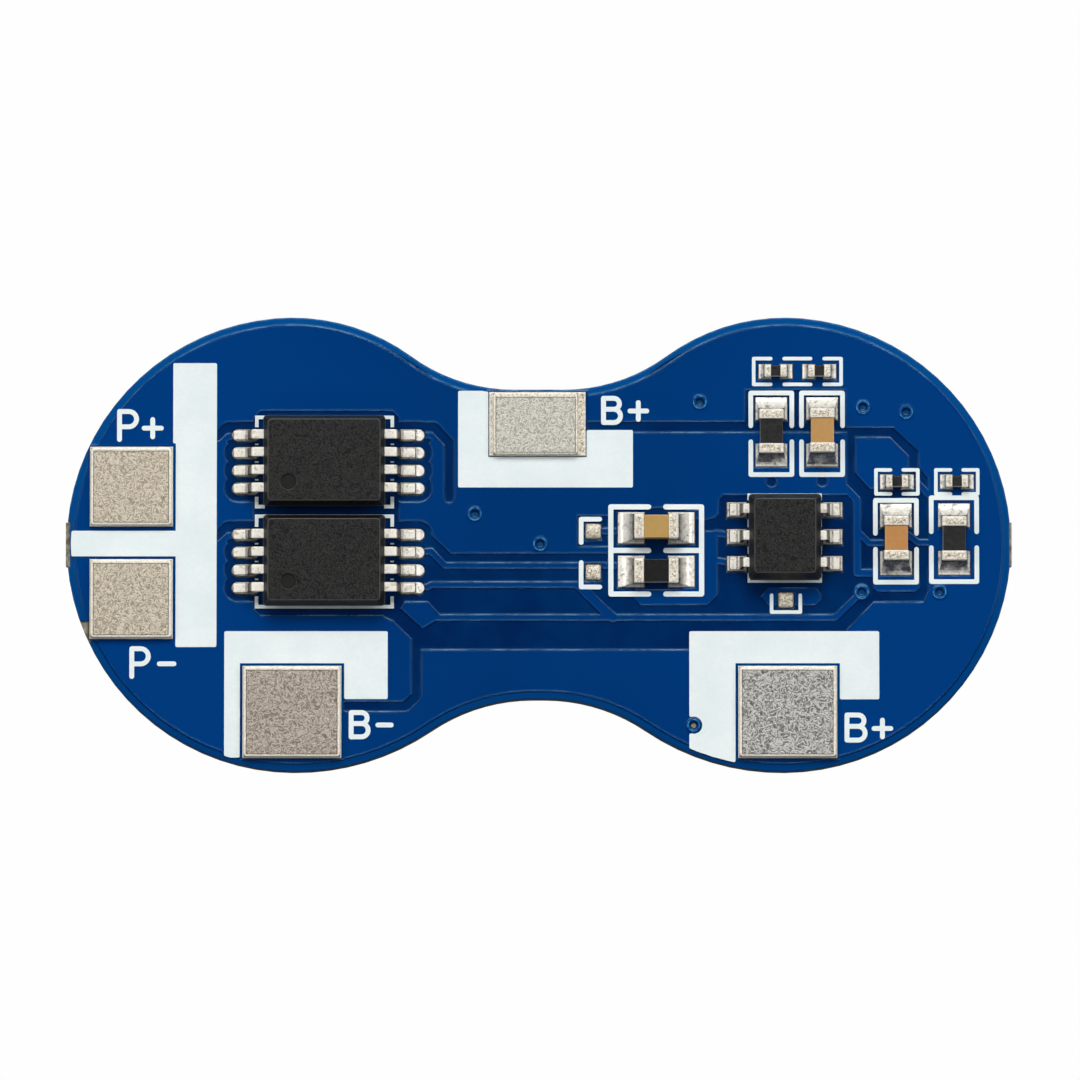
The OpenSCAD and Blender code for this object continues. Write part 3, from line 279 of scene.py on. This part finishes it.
def nickel(name, dark, light, grain, depth, rough=0.38, spark=0.5, frame=None):
    """Dull plate with a fine crawling grain.

    A frame is the box of a tab, the widths of its cream border at -X, +X, -Y and +Y,
    and how brown and gritty that border is."""
    s = Shader(name, dark, rough, metallic=0.2, specular=0.4)
    worms = s.worms(grain * 0.62, 5, 0.7)
    fine = s.spread(s.noise(grain * 0.3, 2, 0.6), 0.3, 0.7, 0, 0.3)
    tint = s.maths("ADD", s.maths("MULTIPLY", worms, 0.7), fine)
    colour = s.blend(tint, dark, light)
    glint = s.spread(s.noise(grain * 0.25, 2, 0.6), 0.6, 0.7, 0, spark)
    colour = s.blend(glint, colour, tone(252, 246, 234))
    if frame:
        (low, high), left, right, foot, head, grit = frame
        wobble = s.spread(s.noise(0.25, 3, 0.6), 0.2, 0.8, -0.012 * MM, 0.012 * MM)
        x, y = s.place("X"), s.place("Y")
        from_left = s.maths("SUBTRACT", x, low.x + left * MM)
        from_right = s.maths("SUBTRACT", high.x - right * MM, x)
        from_foot = s.maths("SUBTRACT", y, low.y + foot * MM)
        from_head = s.maths("SUBTRACT", high.y - head * MM, y)
        across = s.maths("MINIMUM", from_left, from_right)
        along = s.maths("MINIMUM", from_foot, from_head)
        nearest = s.maths("ADD", s.maths("MINIMUM", across, along), wobble)
        speck = s.spread(s.noise(0.09, 3, 0.6), 0.45, 0.62, 0, grit)
        cream = s.blend(speck, tone(253, 247, 232), tone(140, 118, 90))
        colour = s.blend(s.spread(nearest, -0.008 * MM, 0.008 * MM), cream, colour)
        from_seam = s.maths("ABSOLUTE", s.maths("SUBTRACT", nearest, 0.016 * MM))
        seam = s.spread(from_seam, 0.022 * MM, 0.008 * MM, 0, 0.75)
        colour = s.blend(seam, colour, tone(84, 70, 54))
    s.set("Base Color", colour)
    s.set("Roughness", s.spread(worms, 0, 1, rough + 0.08, rough - 0.08))
    s.soften(0.04)
    s.bump(worms, depth, 1.0)
    return s.done()


def solder(node, shade, crown):
    """Solder for one node: bright where it runs out thin, with painted shade where it climbs to meet the
    part.

    Shade is how dark the painted shade and reflection are on the flanks that look towards -Y, away from the
    key light. Crown is how dark the painted shade gets as the solder climbs."""
    low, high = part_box(node)
    s = Shader(node, tone(240, 236, 226), 0.26, metallic=0.15, specular=0.6)
    flow = s.noise(0.34, 2, 0.5, distortion=0.8)
    # painted reflection: dark patches that stand for dark surroundings mirrored in the shiny solder
    dark_reflection = s.spread(s.noise(0.22, 3, 0.6, distortion=0.6), 0.54, 0.68, 0, 0.85)
    bright = s.blend(dark_reflection, tone(252, 248, 238), tone(132, 126, 118))
    uneven = s.spread(s.noise(0.18, 3, 0.6), 0.2, 0.8, -0.06 * MM, 0.06 * MM)
    climb = s.spread(s.maths("ADD", s.place("Z"), uneven), low.z, high.z)
    # painted shade: the grey of the climb is weaker on flanks that face the key light at +Y
    unlit = s.spread(s.facing("Y"), -0.1, 0.5, 1, 0.3)
    # painted shade and reflection: flanks that face -Y turn a bluish grey, in patches
    shadow = s.spread(s.noise(0.3, 2, 0.5), 0.36, 0.56, 0.3 * shade, shade)
    away = s.maths("MULTIPLY", s.spread(s.facing("Y"), -0.15, -0.5), shadow)
    grey = s.maths("MULTIPLY", s.spread(climb, 0.3, 0.8, 0, crown), unlit)
    colour = s.blend(grey, bright, tone(132, 126, 114))
    colour = s.blend(away, colour, tone(84, 88, 98))
    # painted shade: darkest near the top of the climb, where the solder meets the part
    colour = s.blend(s.spread(climb, 0.8, 0.97, 0, crown), colour, tone(52, 48, 43))
    s.set("Base Color", colour)
    s.set("Roughness", s.spread(s.noise(0.2, 2), 0.3, 0.7, 0.2, 0.34))
    s.soften(0.06)
    s.bump(flow, 0.05, 0.7)
    return s.done()


def tin_plate():
    """Tinned strip: cream on its flats, with painted shade on the steep necks."""
    s = Shader("tin_plate", tone(250, 244, 230), 0.28, metallic=0.05, specular=0.6)
    scuff = s.noise(0.16, 3, 0.6, distortion=0.8)
    colour = s.blend(s.spread(scuff, 0.52, 0.7, 0, 0.8), tone(255, 250, 238), tone(180, 166, 146))
    # painted shade: faces that turn steep are painted dark
    steep = s.spread(s.facing("Z"), 0.8, 0.4)
    colour = s.blend(steep, colour, tone(48, 44, 42))
    s.set("Base Color", colour)
    s.set("Roughness", s.spread(scuff, 0.3, 0.7, 0.24, 0.4))
    s.soften(0.05)
    s.bump(scuff, 0.012, 0.6)
    return s.done()


def end_metal():
    """The chips' metal ends: cream, worn to brown specks, with a painted highlight along their rims."""
    s = Shader("end_metal", tone(250, 243, 228), 0.32, metallic=0.05, specular=0.6)
    grain = s.noise(0.075, 3, 0.6, distortion=0.8)
    worn = s.blend(s.spread(grain, 0.42, 0.6), tone(250, 242, 224), tone(156, 142, 116))
    # painted highlight: paler cream along every edge and corner
    s.set("Base Color", s.blend(s.rims(0.12), worn, tone(255, 252, 242)))
    s.soften(0.07)
    s.bump(grain, 0.02, 0.8)
    return s.done()


def moulding():
    """Leathery black moulding: fine pale worms on top, a painted highlight round the rim, and painted shade
    on the sides.
    """
    s = Shader("black_mould", tone(38, 37, 36), 0.44, specular=0.24)
    worms = s.worms(0.18, 5, 0.7)
    top = s.blend(worms, tone(4, 4, 4), tone(47, 47, 46))
    # painted shade: the sides get darker greys than the top
    side = s.blend(worms, tone(6, 6, 6), tone(17, 17, 17))
    up = s.facing("Z")
    # painted highlight: the sloped rim between the sides and the top is painted pale
    colour = s.blend(s.spread(up, 0.42, 0.6), side, tone(86, 84, 79))
    colour = s.blend(s.spread(up, 0.96, 0.99), colour, top)
    line = s.maths("MULTIPLY", s.spread(up, 0.12, 0.02), s.spread(up, -0.12, -0.02))
    s.set("Base Color", s.blend(line, colour, tone(44, 43, 42)))
    s.set("Roughness", s.spread(worms, 0, 1, 0.5, 0.4))
    s.soften(0.04)
    s.bump(worms, 0.004, 0.8)
    return s.done()


def smooth_moulding():
    """The polished round mark beside a first lead."""
    s = Shader("smooth_mould", tone(24, 24, 24), 0.4, specular=0.22)
    s.set("Base Color", s.blend(s.noise(0.2, 2), tone(24, 24, 23), tone(34, 34, 33)))
    s.bump(s.noise(0.1, 2), 0.004, 0.5)
    return s.done()


def ceramic(name, dark, light):
    """A capacitor's tan block, with a painted highlight along its edges."""
    s = Shader(name, dark, 0.4, specular=0.3)
    body = s.blend(s.noise(0.2, 3), dark, light)
    # painted highlight: a paler tan along the edges
    pale = s.blend(0.6, light, tone(242, 218, 176))
    s.set("Base Color", s.blend(s.maths("MULTIPLY", s.rims(0.06), 0.7), body, pale))
    s.soften(0.05)
    s.bump(s.noise(0.06, 2), 0.004, 0.5)
    return s.done()


def alumina():
    """A resistor's off-white block."""
    s = Shader("alumina", tone(224, 222, 214), 0.6, specular=0.2)
    s.set("Base Color", s.blend(s.noise(0.15, 3), tone(214, 211, 202), tone(230, 228, 222)))
    s.bump(s.noise(0.05, 2), 0.004, 0.5)
    return s.done()


def black_coat(name="black_coat", dark=26, light=46):
    """The black glaze on a resistor, mottled between two greys, with a painted highlight along its edges."""
    s = Shader(name, tone(dark + 10, dark + 10, dark + 10), 0.38, specular=0.3)
    patch = s.spread(s.noise(0.14, 3, 0.55, distortion=0.8), 0.35, 0.7)
    coat = s.blend(patch, tone(dark, dark, dark), tone(light, light, light))
    # painted highlight: paler grey along the edges
    s.set("Base Color", s.blend(s.maths("MULTIPLY", s.rims(0.05), 0.5), coat, tone(96, 94, 90)))
    s.soften(0.03)
    s.bump(s.noise(0.12, 3), 0.008, 0.6)
    return s.done()


looks = {
    "laminate": laminate(),
    "copper": copper(),
    "solder_mask": solder_mask("solder_mask"),
    "white_ink": white_ink("white_ink"),
    "tin_plate": tin_plate(),
    "black_mould": moulding(),
    "smooth_mould": smooth_moulding(),
    "capacitor_ceramic": ceramic("capacitor_ceramic", tone(182, 137, 80), tone(196, 152, 96)),
    "alumina": alumina(),
    "black_coat": black_coat(),
    "end_metal": end_metal(),
}


def tab_look(node, dark, light, grain, depth, widths=(0.09, 0.1, 0.08, 0.12), grit=0.25, spark=0.5):
    """The plate of one weld tab, framed by its own box. The widths are those of nickel's frame."""
    return nickel(node, dark, light, grain, depth, spark=spark, frame=(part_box(node), *widths, grit))


p_dark, p_light = tone(144, 131, 108), tone(240, 229, 210)
mid_dark, mid_light = tone(154, 149, 136), tone(242, 239, 229)
tab_looks = {
    "tab_p_plus": tab_look("tab_p_plus", p_dark, p_light, 0.34, 0.004),
    "tab_p_minus": tab_look("tab_p_minus", p_dark, p_light, 0.34, 0.004),
    "tab_b_minus": tab_look("tab_b_minus", tone(112, 100, 88), tone(214, 201, 187), 0.34, 0.005),
    "tab_b_plus": tab_look("tab_b_plus", tone(70, 68, 64), tone(228, 227, 222), 0.36, 0.006, spark=0.6),
    "tab_b_mid": tab_look("tab_b_mid", mid_dark, mid_light, 0.3, 0.004, (0.08, 0.07, 0.06, 0.16), 0.5),
}
own_looks = {
    **tab_looks,
    "c1_body": ceramic("ceramic_yellow", tone(180, 144, 80), tone(192, 156, 94)),
    "c3_body": ceramic("ceramic_orange", tone(182, 128, 72), tone(196, 142, 86)),
    "r1_coat": black_coat("black_coat_deep", 14, 30),
}
slot_of = {sub["node"]: sub["material_slot"] for sub in frame["record"]["subparts"]}
for name, obj in nodes.items():
    if name.startswith("film"):
        own_looks[name] = looks["end_metal"]
    elif slot_of[name] == "solder":
        upright = name[:2] in ("c2", "c3", "r2", "r3")
        leaded = name[0] in "qu"
        own_looks[name] = solder(name, shade=0.95 if upright else 0.35, crown=0.3 if leaded else 1.0)
    look = own_looks.get(name) or looks[slot_of[name]]
    for held in obj.material_slots:
        held.material = look
    if not obj.material_slots:
        obj.data.materials.append(look)


# ---------------------------------------------------------------- meshes


def add_piece(name, bm, materials, slot, *replaced):
    """Makes a piece of the mesh, which rides on the board and stands for the CAD nodes named."""
    bmesh.ops.recalc_face_normals(bm, faces=bm.faces)
    mesh = bpy.data.meshes.new(name)
    bm.to_mesh(mesh)
    bm.free()
    piece = bpy.data.objects.new(name, mesh)
    bpy.context.scene.collection.objects.link(piece)
    for material in materials:
        mesh.materials.append(material)
    if replaced:
        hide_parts(*replaced)
    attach(piece, "root")
    return piece


def circle_loop(bm, cx, cy, radius, z, steps):
    """A circle of vertices at one height, anticlockwise."""
    turns = [math.tau * i / steps for i in range(steps)]
    return [bm.verts.new((cx + radius * math.cos(a), cy + radius * math.sin(a), z)) for a in turns]


def rounded_loop(bm, cx, cy, half_x, half_y, radius, z, steps=5):
    """A rectangle of vertices with round corners at one height, anticlockwise."""
    loop = []
    for sx, sy, start in ((1, 1, 0), (-1, 1, 90), (-1, -1, 180), (1, -1, 270)):
        for i in range(steps + 1):
            a = math.radians(start + 90 * i / steps)
            loop.append(bm.verts.new((
                cx + sx * (half_x - radius) + radius * math.cos(a),
                cy + sy * (half_y - radius) + radius * math.sin(a),
                z,
            )))
    return loop


def skin(bm, lower, upper):
    """Joins two loops of as many vertices with a band of faces, and returns the faces."""
    count = len(lower)
    pairs = [(i, (i + 1) % count) for i in range(count)]
    return [bm.faces.new((lower[i], lower[j], upper[j], upper[i])) for i, j in pairs]


def stack(bm, loops):
    """Joins each loop to the next one."""
    for lower, upper in zip(loops, loops[1:]):
        skin(bm, lower, upper)


def middle_and_half(node):
    """The middle of a node's box in X and Y, and half its size in X and Y."""
    low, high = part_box(node)
    return (low.x + high.x) / 2, (low.y + high.y) / 2, (high.x - low.x) / 2, (high.y - low.y) / 2


# ---------------------------------------------------------------- moulded bodies

BODY_CORNER = 0.14
Q_MARK = (0.94, 0.87, 0.62)  # the round mark's place from the body's -X, -Y corner, and its diameter


def moulded_body(node, draft_x, draft_y, dimple):
    """The drafted body with a line at the middle of its sides, round corners and a rolled top edge.

    Each draft is how far a side leans in from that line to the top, in millimetres."""
    low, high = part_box(node)
    cx, cy, hx, hy = middle_and_half(node)
    middle = (low.z + high.z) / 2
    bm = bmesh.new()
    rings = [  # the share of the draft, the inset in millimetres, the height
        (1.0, 0.0, low.z),
        (0.1, 0.0, middle - 0.045 * MM),
        (0.0, 0.0, middle - 0.03 * MM),
        (0.0, 0.0, middle + 0.03 * MM),
        (0.1, 0.0, middle + 0.045 * MM),
        (1.0, 0.0, high.z - 0.03 * MM),
        (1.0, 0.012, high.z - 0.01 * MM),
        (1.0, 0.035, high.z),
    ]
    loops = []
    for lean, inset, z in rings:
        dx = (draft_x * lean + inset) * MM
        dy = (draft_y * lean + inset) * MM
        loops.append(rounded_loop(bm, cx, cy, hx - dx, hy - dy, (BODY_CORNER - inset) * MM, z))
    stack(bm, loops)
    bm.faces.new(list(reversed(loops[0])))
    if dimple is None:
        bm.faces.new(loops[-1])
    else:
        from_left, from_foot, diameter = dimple
        mx, my = low.x + from_left * MM, low.y + from_foot * MM
        bowl = [
            circle_loop(bm, mx, my, (diameter / 2 - inset) * MM, high.z - depth * MM, 40)
            for inset, depth in ((0, 0), (0.02, 0.03), (0.03, 0.07))
        ]
        for upper, lower in zip(bowl, bowl[1:]):
            skin(bm, lower, upper)
        bm.faces.new(bowl[-1]).material_index = 1
        top_edges = []
        for loop in (loops[-1], bowl[0]):
            top_edges += [bm.edges.get((a, b)) for a, b in zip(loop, loop[1:] + loop[:1])]
        bmesh.ops.triangle_fill(bm, use_beauty=True, edges=top_edges)
    both = (looks["black_mould"], looks["smooth_mould"])
    add_piece(node.replace("body", "moulding"), bm, both, "black_mould", node)


moulded_body("q1_body", 0.17, 0.16, Q_MARK)
moulded_body("q2_body", 0.17, 0.16, Q_MARK)
moulded_body("u1_body", 0.2, 0.2, None)


# ---------------------------------------------------------------- tabs

TAB_CORNER = 0.12
TAB_EDGE = ((0, 0.05), (0.01, 0.02), (0.03, 0.005), (0.055, 0))  # inset, and depth under the upper face


def plated_tab(node):
    """A flat tab with small round corners and a worn edge."""
    low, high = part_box(node)
    cx, cy, hx, hy = middle_and_half(node)
    bm = bmesh.new()
    loops = []
    for inset, z in [(0, low.z)] + [(inset, high.z - depth * MM) for inset, depth in TAB_EDGE]:
        corner = (TAB_CORNER - inset) * MM
        loops.append(rounded_loop(bm, cx, cy, hx - inset * MM, hy - inset * MM, corner, z))
    stack(bm, loops)
    bm.faces.new(loops[-1])
    bm.faces.new(list(reversed(loops[0])))
    add_piece(node.replace("tab", "plated_tab"), bm, (tab_looks[node],), slot_of[node], node)


for tab_name in tab_looks:
    plated_tab(tab_name)


# ---------------------------------------------------------------- formed leads

LEAD_THICK = 0.13 * MM
BEND_R = 0.09 * MM       # the middle line's radius over the shoulder
HEEL_R = 0.11 * MM       # and where the neck turns into the foot
BEND_ANGLES = [math.radians(a) for a in (0, 18, 36, 54, 72)]
ROOT_DEPTH = 0.1 * MM    # how far a lead starts inside its body
STRAIGHT_TO = 0.04 * MM  # it runs straight to this far outside
TOE_GAP = 0.03 * MM      # a foot ends this far short of the CAD lead's
FOOT_SHARE = 0.97        # a foot's width as a share of the CAD lead's
EDGE_ROUND = 0.04 * MM


def lead_path(half, reach, top, foot, shoulder, slant):
    """The middle line of a lead, as the points of its neck and of its foot, with x from the body's middle."""
    drop_x = half + shoulder - LEAD_THICK / 2
    bend_x, bend_z = drop_x - BEND_R, top - BEND_R
    heel_x, heel_z = drop_x + slant + HEEL_R, foot + HEEL_R
    neck = [(half - ROOT_DEPTH, top), (half + STRAIGHT_TO, top)]
    neck += [(bend_x + BEND_R * math.sin(a), bend_z + BEND_R * math.cos(a)) for a in BEND_ANGLES]
    sole = [(heel_x - HEEL_R * math.sin(a), heel_z - HEEL_R * math.cos(a)) for a in reversed(BEND_ANGLES)]
    sole.append((reach - TOE_GAP, foot))
    return neck, sole


def formed_leads(node, body, width, neck_width, per_side, shoulder, slant):
    """Gull-wing leads bent from strip: out of the body, over a round shoulder, down and along the foot.

    The shoulder is the distance from the body to the neck's outer face, and the slant is how
    far the neck leans out on its way down. All in millimetres."""
    low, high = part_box(node)
    body_low, body_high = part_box(body)
    cx = (low.x + high.x) / 2
    half = (body_high.x - body_low.x) / 2
    reach = (high.x - low.x) / 2
    top, foot = high.z - LEAD_THICK / 2, low.z + LEAD_THICK / 2
    neck, sole = lead_path(half, reach, top, foot, shoulder * MM, slant * MM)
    path = [Vector(point) for point in neck + sole]
    half_widths = [neck_width / 2 * MM] * len(neck) + [width / 2 * FOOT_SHARE * MM] * len(sole)
    pitch = (high.y - low.y - width * MM) / (per_side - 1)
    bm = bmesh.new()
    for side in (-1, 1):
        for k in range(per_side):
            y = low.y + width / 2 * MM + k * pitch
            rows = []
            for i, (point, w) in enumerate(zip(path, half_widths)):
                run = (path[min(i + 1, len(path) - 1)] - path[max(i - 1, 0)]).normalized()
                out = Vector((-run.y, run.x)) * LEAD_THICK / 2
                rows.append([
                    bm.verts.new((cx + side * (point.x + out.x * t), y + w * v, point.y + out.y * t))
                    for t, v in ((1, -1), (1, 1), (-1, 1), (-1, -1))
                ])
            stack(bm, rows)
            bm.faces.new(rows[0])
            bm.faces.new(rows[-1])
    piece = add_piece(node.replace("leads", "formed_leads"), bm, (looks["tin_plate"],), "tin_plate", node)
    round_off = piece.modifiers.new("round_off", "BEVEL")
    round_off.width = EDGE_ROUND
    round_off.segments = 3
    round_off.limit_method = "ANGLE"
    round_off.angle_limit = math.radians(50)


for switch in ("q1", "q2"):
    formed_leads(switch + "_leads", switch + "_body", 0.36, 0.36, 4, 0.47, 0.1)
formed_leads("u1_leads", "u1_body", 0.48, 0.37, 3, 0.24, 0.08)


# ---------------------------------------------------------------- mask round and in the vias

RING, WELL, PLUG, SEEN_THROUGH = range(4)  # the materials of via_mask_rings
VIA_PROFILE = (  # radius and height over the upper mask, and what the band outside the next row is
    (0.255, -0.002, RING),
    (0.246, 0.012, RING),
    (0.235, 0.018, RING),
    (0.22, 0.01, RING),
    (0.208, -0.003, WELL),
    (0.187, -0.012, WELL),
    (0.152, -0.018, WELL),
    (0.14, -0.07, WELL),
    (0.1, -0.11, PLUG),
    (0.05, -0.1, PLUG),
)
VIAS = (  # the centres of the plated holes, as in the CAD part
    (6.68 * MM - lobe_x, 1.12 * MM),
    (0.05 * MM, 0),
    (lobe_x - 3.08 * MM, 5.28 * MM),
    (lobe_x + 2.97 * MM, 5.09 * MM),
    (lobe_x + 4.57 * MM, 4.91 * MM),
    (lobe_x + 2.91 * MM, -1.79 * MM),
    (lobe_x + 5.79 * MM, -1.79 * MM),
)
OPEN_VIA = (lobe_x - 3.32 * MM, -6.73 * MM)  # this one has no plug: the grey disc in its hole is painted light, standing for the light seen through it, in a narrower ring
OPEN_RING = 0.92


def glossy_blue(name, dark, light, size):
    """Wet-looking mask ink, mottled between two blues."""
    s = Shader(name, dark, 0.2, specular=0.5)
    s.set("Specular Tint", (0.4, 0.85, 1.0, 1))
    s.set("Base Color", s.blend(s.spread(s.noise(size, 2), 0.42, 0.62), dark, light))
    s.bump(s.noise(0.1, 2), 0.004, 0.5)
    return s.done()


def via_mask():
    """The ring of mask that stands up round each plated hole, and the ink that has run into it."""
    # painted highlight: the raised ring is painted a lighter, mottled blue than the mask, where it catches
    # the light
    ring = glossy_blue("mask_ring", tone(8, 80, 146), tone(60, 150, 204), 0.14)
    well = glossy_blue("mask_well", tone(2, 26, 62), tone(3, 38, 84), 0.1)
    plug = glossy_blue("mask_plug", tone(6, 58, 106), tone(14, 84, 138), 0.08)
    # painted light: a grey, grainy disc in the open hole stands for the light seen through it
    bare = nickel("light_through_hole", tone(120, 118, 104), tone(186, 184, 170), 0.1, 0.01)
    bm = bmesh.new()
    for x, y in (*VIAS, OPEN_VIA):
        is_open = (x, y) == OPEN_VIA
        shrink = OPEN_RING if is_open else 1.0
        centre = SEEN_THROUGH if is_open else PLUG
        loops = [circle_loop(bm, x, y, r * shrink * MM, mask_high.z + z * MM, 32) for r, z, _ in VIA_PROFILE]
        for outer, inner, (_, _, look) in zip(loops, loops[1:], VIA_PROFILE):
            for face in skin(bm, outer, inner):
                face.material_index = centre if look == PLUG else look
        bm.faces.new(loops[-1]).material_index = centre
    for face in bm.faces:
        face.smooth = True
    add_piece("via_mask_rings", bm, (ring, well, plug, bare), "solder_mask")


via_mask()


# ---------------------------------------------------------------- tinned spare lands

SPARE_HALF = 0.28
SPARE_CORNER = 0.09
SPARE_DOME = (  # inset, and share of the height
    (0, 0),
    (0.01, 0.4),
    (0.04, 0.7),
    (0.09, 0.88),
    (0.15, 0.97),
    (0.21, 1),
)
SPARES = ((2.02 * MM, 0.47 * MM), (2.02 * MM, -1.05 * MM), (lobe_x + 0.1 * MM, -2.08 * MM))


def tinned_lands(node):
    """Each spare land's low cushion of solder, domed with round corners, where the CAD has its plain form."""
    low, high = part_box(node)
    bm = bmesh.new()
    for x, y in SPARES:
        loops = []
        for inset, rise in SPARE_DOME:
            half = (SPARE_HALF - inset) * MM
            corner = min(SPARE_CORNER, SPARE_HALF - inset - 0.01) * MM
            loops.append(rounded_loop(bm, x, y, half, half, corner, low.z + (high.z - low.z) * rise))
        stack(bm, loops)
        bm.faces.new(loops[-1])
        bm.faces.new(list(reversed(loops[0])))
    for face in bm.faces:
        face.smooth = True
    add_piece("tinned_spare_lands", bm, (looks["end_metal"],), slot_of[node], node)


tinned_lands("spare_solder")


# ---------------------------------------------------------------- terminal marks

ink_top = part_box("legend_fields")[1].z
ink_foot = mask_low.z + 0.03 * MM  # inside the mask
STROKE = 0.18 * MM        # width of a stroke
LAYER_DROP = 0.0006 * MM  # between crossing strokes
INK_EDGE = 0.006 * MM     # a loop of vertices goes round each stroke this far under its top
CAP_STEPS = 8             # steps along each round end
mark_ink = white_ink("mark_ink", soft=False)


def arc_points(cx, cy, rx, ry, start, end, steps):
    """Points along an ellipse, from one angle to another in degrees."""
    angles = [math.radians(start + (end - start) * i / steps) for i in range(steps + 1)]
    return [Vector((cx + rx * math.cos(a), cy + ry * math.sin(a))) for a in angles]


def ribbon(bm, points, width, layer):
    """A closed stroke of ink with a level top and round ends along a line of points.

    Each layer lies a hair lower than the last, so that crossing strokes share no face."""
    top_z = ink_top - layer * LAYER_DROP
    half = width / 2
    runs = [(after - before).normalized() for before, after in zip(points, points[1:])]
    directions = [(a + b).normalized() for a, b in zip(runs[:1] + runs, runs + runs[-1:])]
    sides = [Vector((-d.y, d.x)) * half for d in directions]
    ring = [p + side for p, side in zip(points, sides)]
    for end, side, back in ((points[-1], sides[-1], True), (points[0], -sides[0], False)):
        start = math.degrees(math.atan2(side.y, side.x))
        ring += arc_points(end.x, end.y, half, half, start, start - 180, CAP_STEPS)[1:-1]
        if back:
            ring += [p - away for p, away in zip(reversed(points), reversed(sides))]
    levels = (ink_foot, top_z - INK_EDGE, top_z)
    base, edge, rim = [[bm.verts.new((p.x, p.y, z)) for p in ring] for z in levels]
    bm.faces.new(rim)
    skin(bm, base, edge)
    skin(bm, edge, rim)
    bm.faces.new(list(reversed(base)))


def mark(name, letter, x, y, tall, wide, sign, sign_x, sign_y, sign_w):
    """A capital P or B with its lower left corner at x, y, and a plus or minus beside it.

    The sign is given by its middle and its width. All in millimetres."""
    bm = bmesh.new()
    x, y, tall, wide = x * MM, y * MM, tall * MM, wide * MM
    stem = x + STROKE / 2
    foot, head = y + STROKE / 2, y + tall - STROKE / 2
    waist = y + tall * (0.46 if letter == "P" else 0.54)
    right = x + wide - STROKE / 2
    ribbon(bm, [Vector((stem, foot)), Vector((stem, head))], STROKE, 0)
    lobes = [(waist, head)] if letter == "P" else [(waist, head), (foot, waist)]
    for number, (low, high) in enumerate(lobes):
        reach = right - (0.04 * MM if letter == "B" and number == 0 else 0)
        ry = (high - low) / 2
        rx = min(ry, (reach - stem) * 0.62)
        bowl = arc_points(reach - rx, (low + high) / 2, rx, ry, 90, -90, 14)
        ribbon(bm, [Vector((stem, high)), *bowl, Vector((stem, low))], STROKE, 1 + number)
    middle = Vector((sign_x * MM, sign_y * MM))
    half = sign_w / 2 * MM - STROKE / 2
    across, upright = Vector((half, 0)), Vector((0, half))
    ribbon(bm, [middle - across, middle + across], STROKE, 0)
    if sign == "+":
        ribbon(bm, [middle - upright, middle + upright], STROKE, 1)
    add_piece(name, bm, (mark_ink,), "white_ink")


mark("mark_p_plus", "P", -15.63, 3.8, 1.22, 0.81, "+", -14.31, 4.31, 0.82)
mark("mark_p_minus", "P", -15.15, -5.01, 1.21, 0.79, "-", -13.77, -4.45, 0.72)
mark("mark_b_minus", "B", -7.03, -7.25, 1.08, 0.81, "-", -5.705, -6.72, 0.67)
mark("mark_b_mid", "B", 2.31, 4.43, 1.08, 0.81, "+", 3.69, 4.95, 0.8)
mark("mark_b_plus", "B", 11.31, -7.37, 1.11, 0.85, "+", 12.71, -6.85, 0.8)


# ---------------------------------------------------------------- stage, light and camera


def floor():
    """A white light table: it shines evenly, so the board throws no shadow on it."""
    mesh = bpy.data.meshes.new("floor")
    half = 3.0
    corners = [(-half, -half, 0), (half, -half, 0), (half, half, 0), (-half, half, 0)]
    mesh.from_pydata(corners, [], [(0, 1, 2, 3)])
    obj = bpy.data.objects.new("floor", mesh)
    obj.location.z = -0.02 * MM
    bpy.context.scene.collection.objects.link(obj)
    s = Shader("floor", (0, 0, 0, 1), 1.0, specular=0.0)
    s.set("Emission Color", (1, 1, 1, 1))
    s.set("Emission Strength", 0.99)
    mesh.materials.append(s.done())
    obj.visible_diffuse = False
    obj.visible_glossy = False


LIGHT_DISTANCE = 0.6


def area_light(name, azimuth, elevation, width, height, power):
    """A soft box that faces the board. Azimuth 0 is the top of the picture, and 90 its right side."""
    data = bpy.data.lights.new(name, "AREA")
    data.shape = "RECTANGLE"
    data.size, data.size_y, data.energy = width, height, power
    obj = bpy.data.objects.new(name, data)
    a, e = math.radians(azimuth), math.radians(elevation)
    away = Vector((math.sin(a) * math.cos(e), math.cos(a) * math.cos(e), math.sin(e)))
    obj.location = LIGHT_DISTANCE * away
    obj.rotation_euler = (-obj.location).to_track_quat("-Z", "Y").to_euler()
    bpy.context.scene.collection.objects.link(obj)


floor()
area_light("key", 0, 50, 0.5, 0.26, 3.0)
area_light("left", -80, 42, 0.36, 0.2, 0.9)
area_light("right", 80, 42, 0.36, 0.2, 0.9)
area_light("front", 180, 40, 0.4, 0.16, 0.3)

world = bpy.data.worlds.new("studio")
bpy.context.scene.world = world
world.use_nodes = True
background = world.node_tree.nodes["Background"]
background.inputs["Color"].default_value = (1, 1, 1, 1)
background.inputs["Strength"].default_value = 0.04

DISTANCE = 0.45
FRAME_WIDTH = 0.04  # what the picture is wide at the board
TILT = math.radians(5)  # the camera stands this far from straight overhead, towards -Y
camera_data = bpy.data.cameras.new("camera")
camera_data.sensor_width = 36
camera_data.lens = camera_data.sensor_width * DISTANCE / FRAME_WIDTH
camera_data.clip_start = 0.01
camera = bpy.data.objects.new("camera", camera_data)
aim = Vector((0.046 * MM, 0.148 * MM, mask_high.z))
camera.location = aim + DISTANCE * Vector((0, -math.sin(TILT), math.cos(TILT)))
camera.rotation_euler = (TILT, 0, 0)
bpy.context.scene.collection.objects.link(camera)
bpy.context.scene.camera = camera
bpy.context.scene.view_settings.view_transform = "Standard"
bpy.context.scene.view_settings.look = "None"
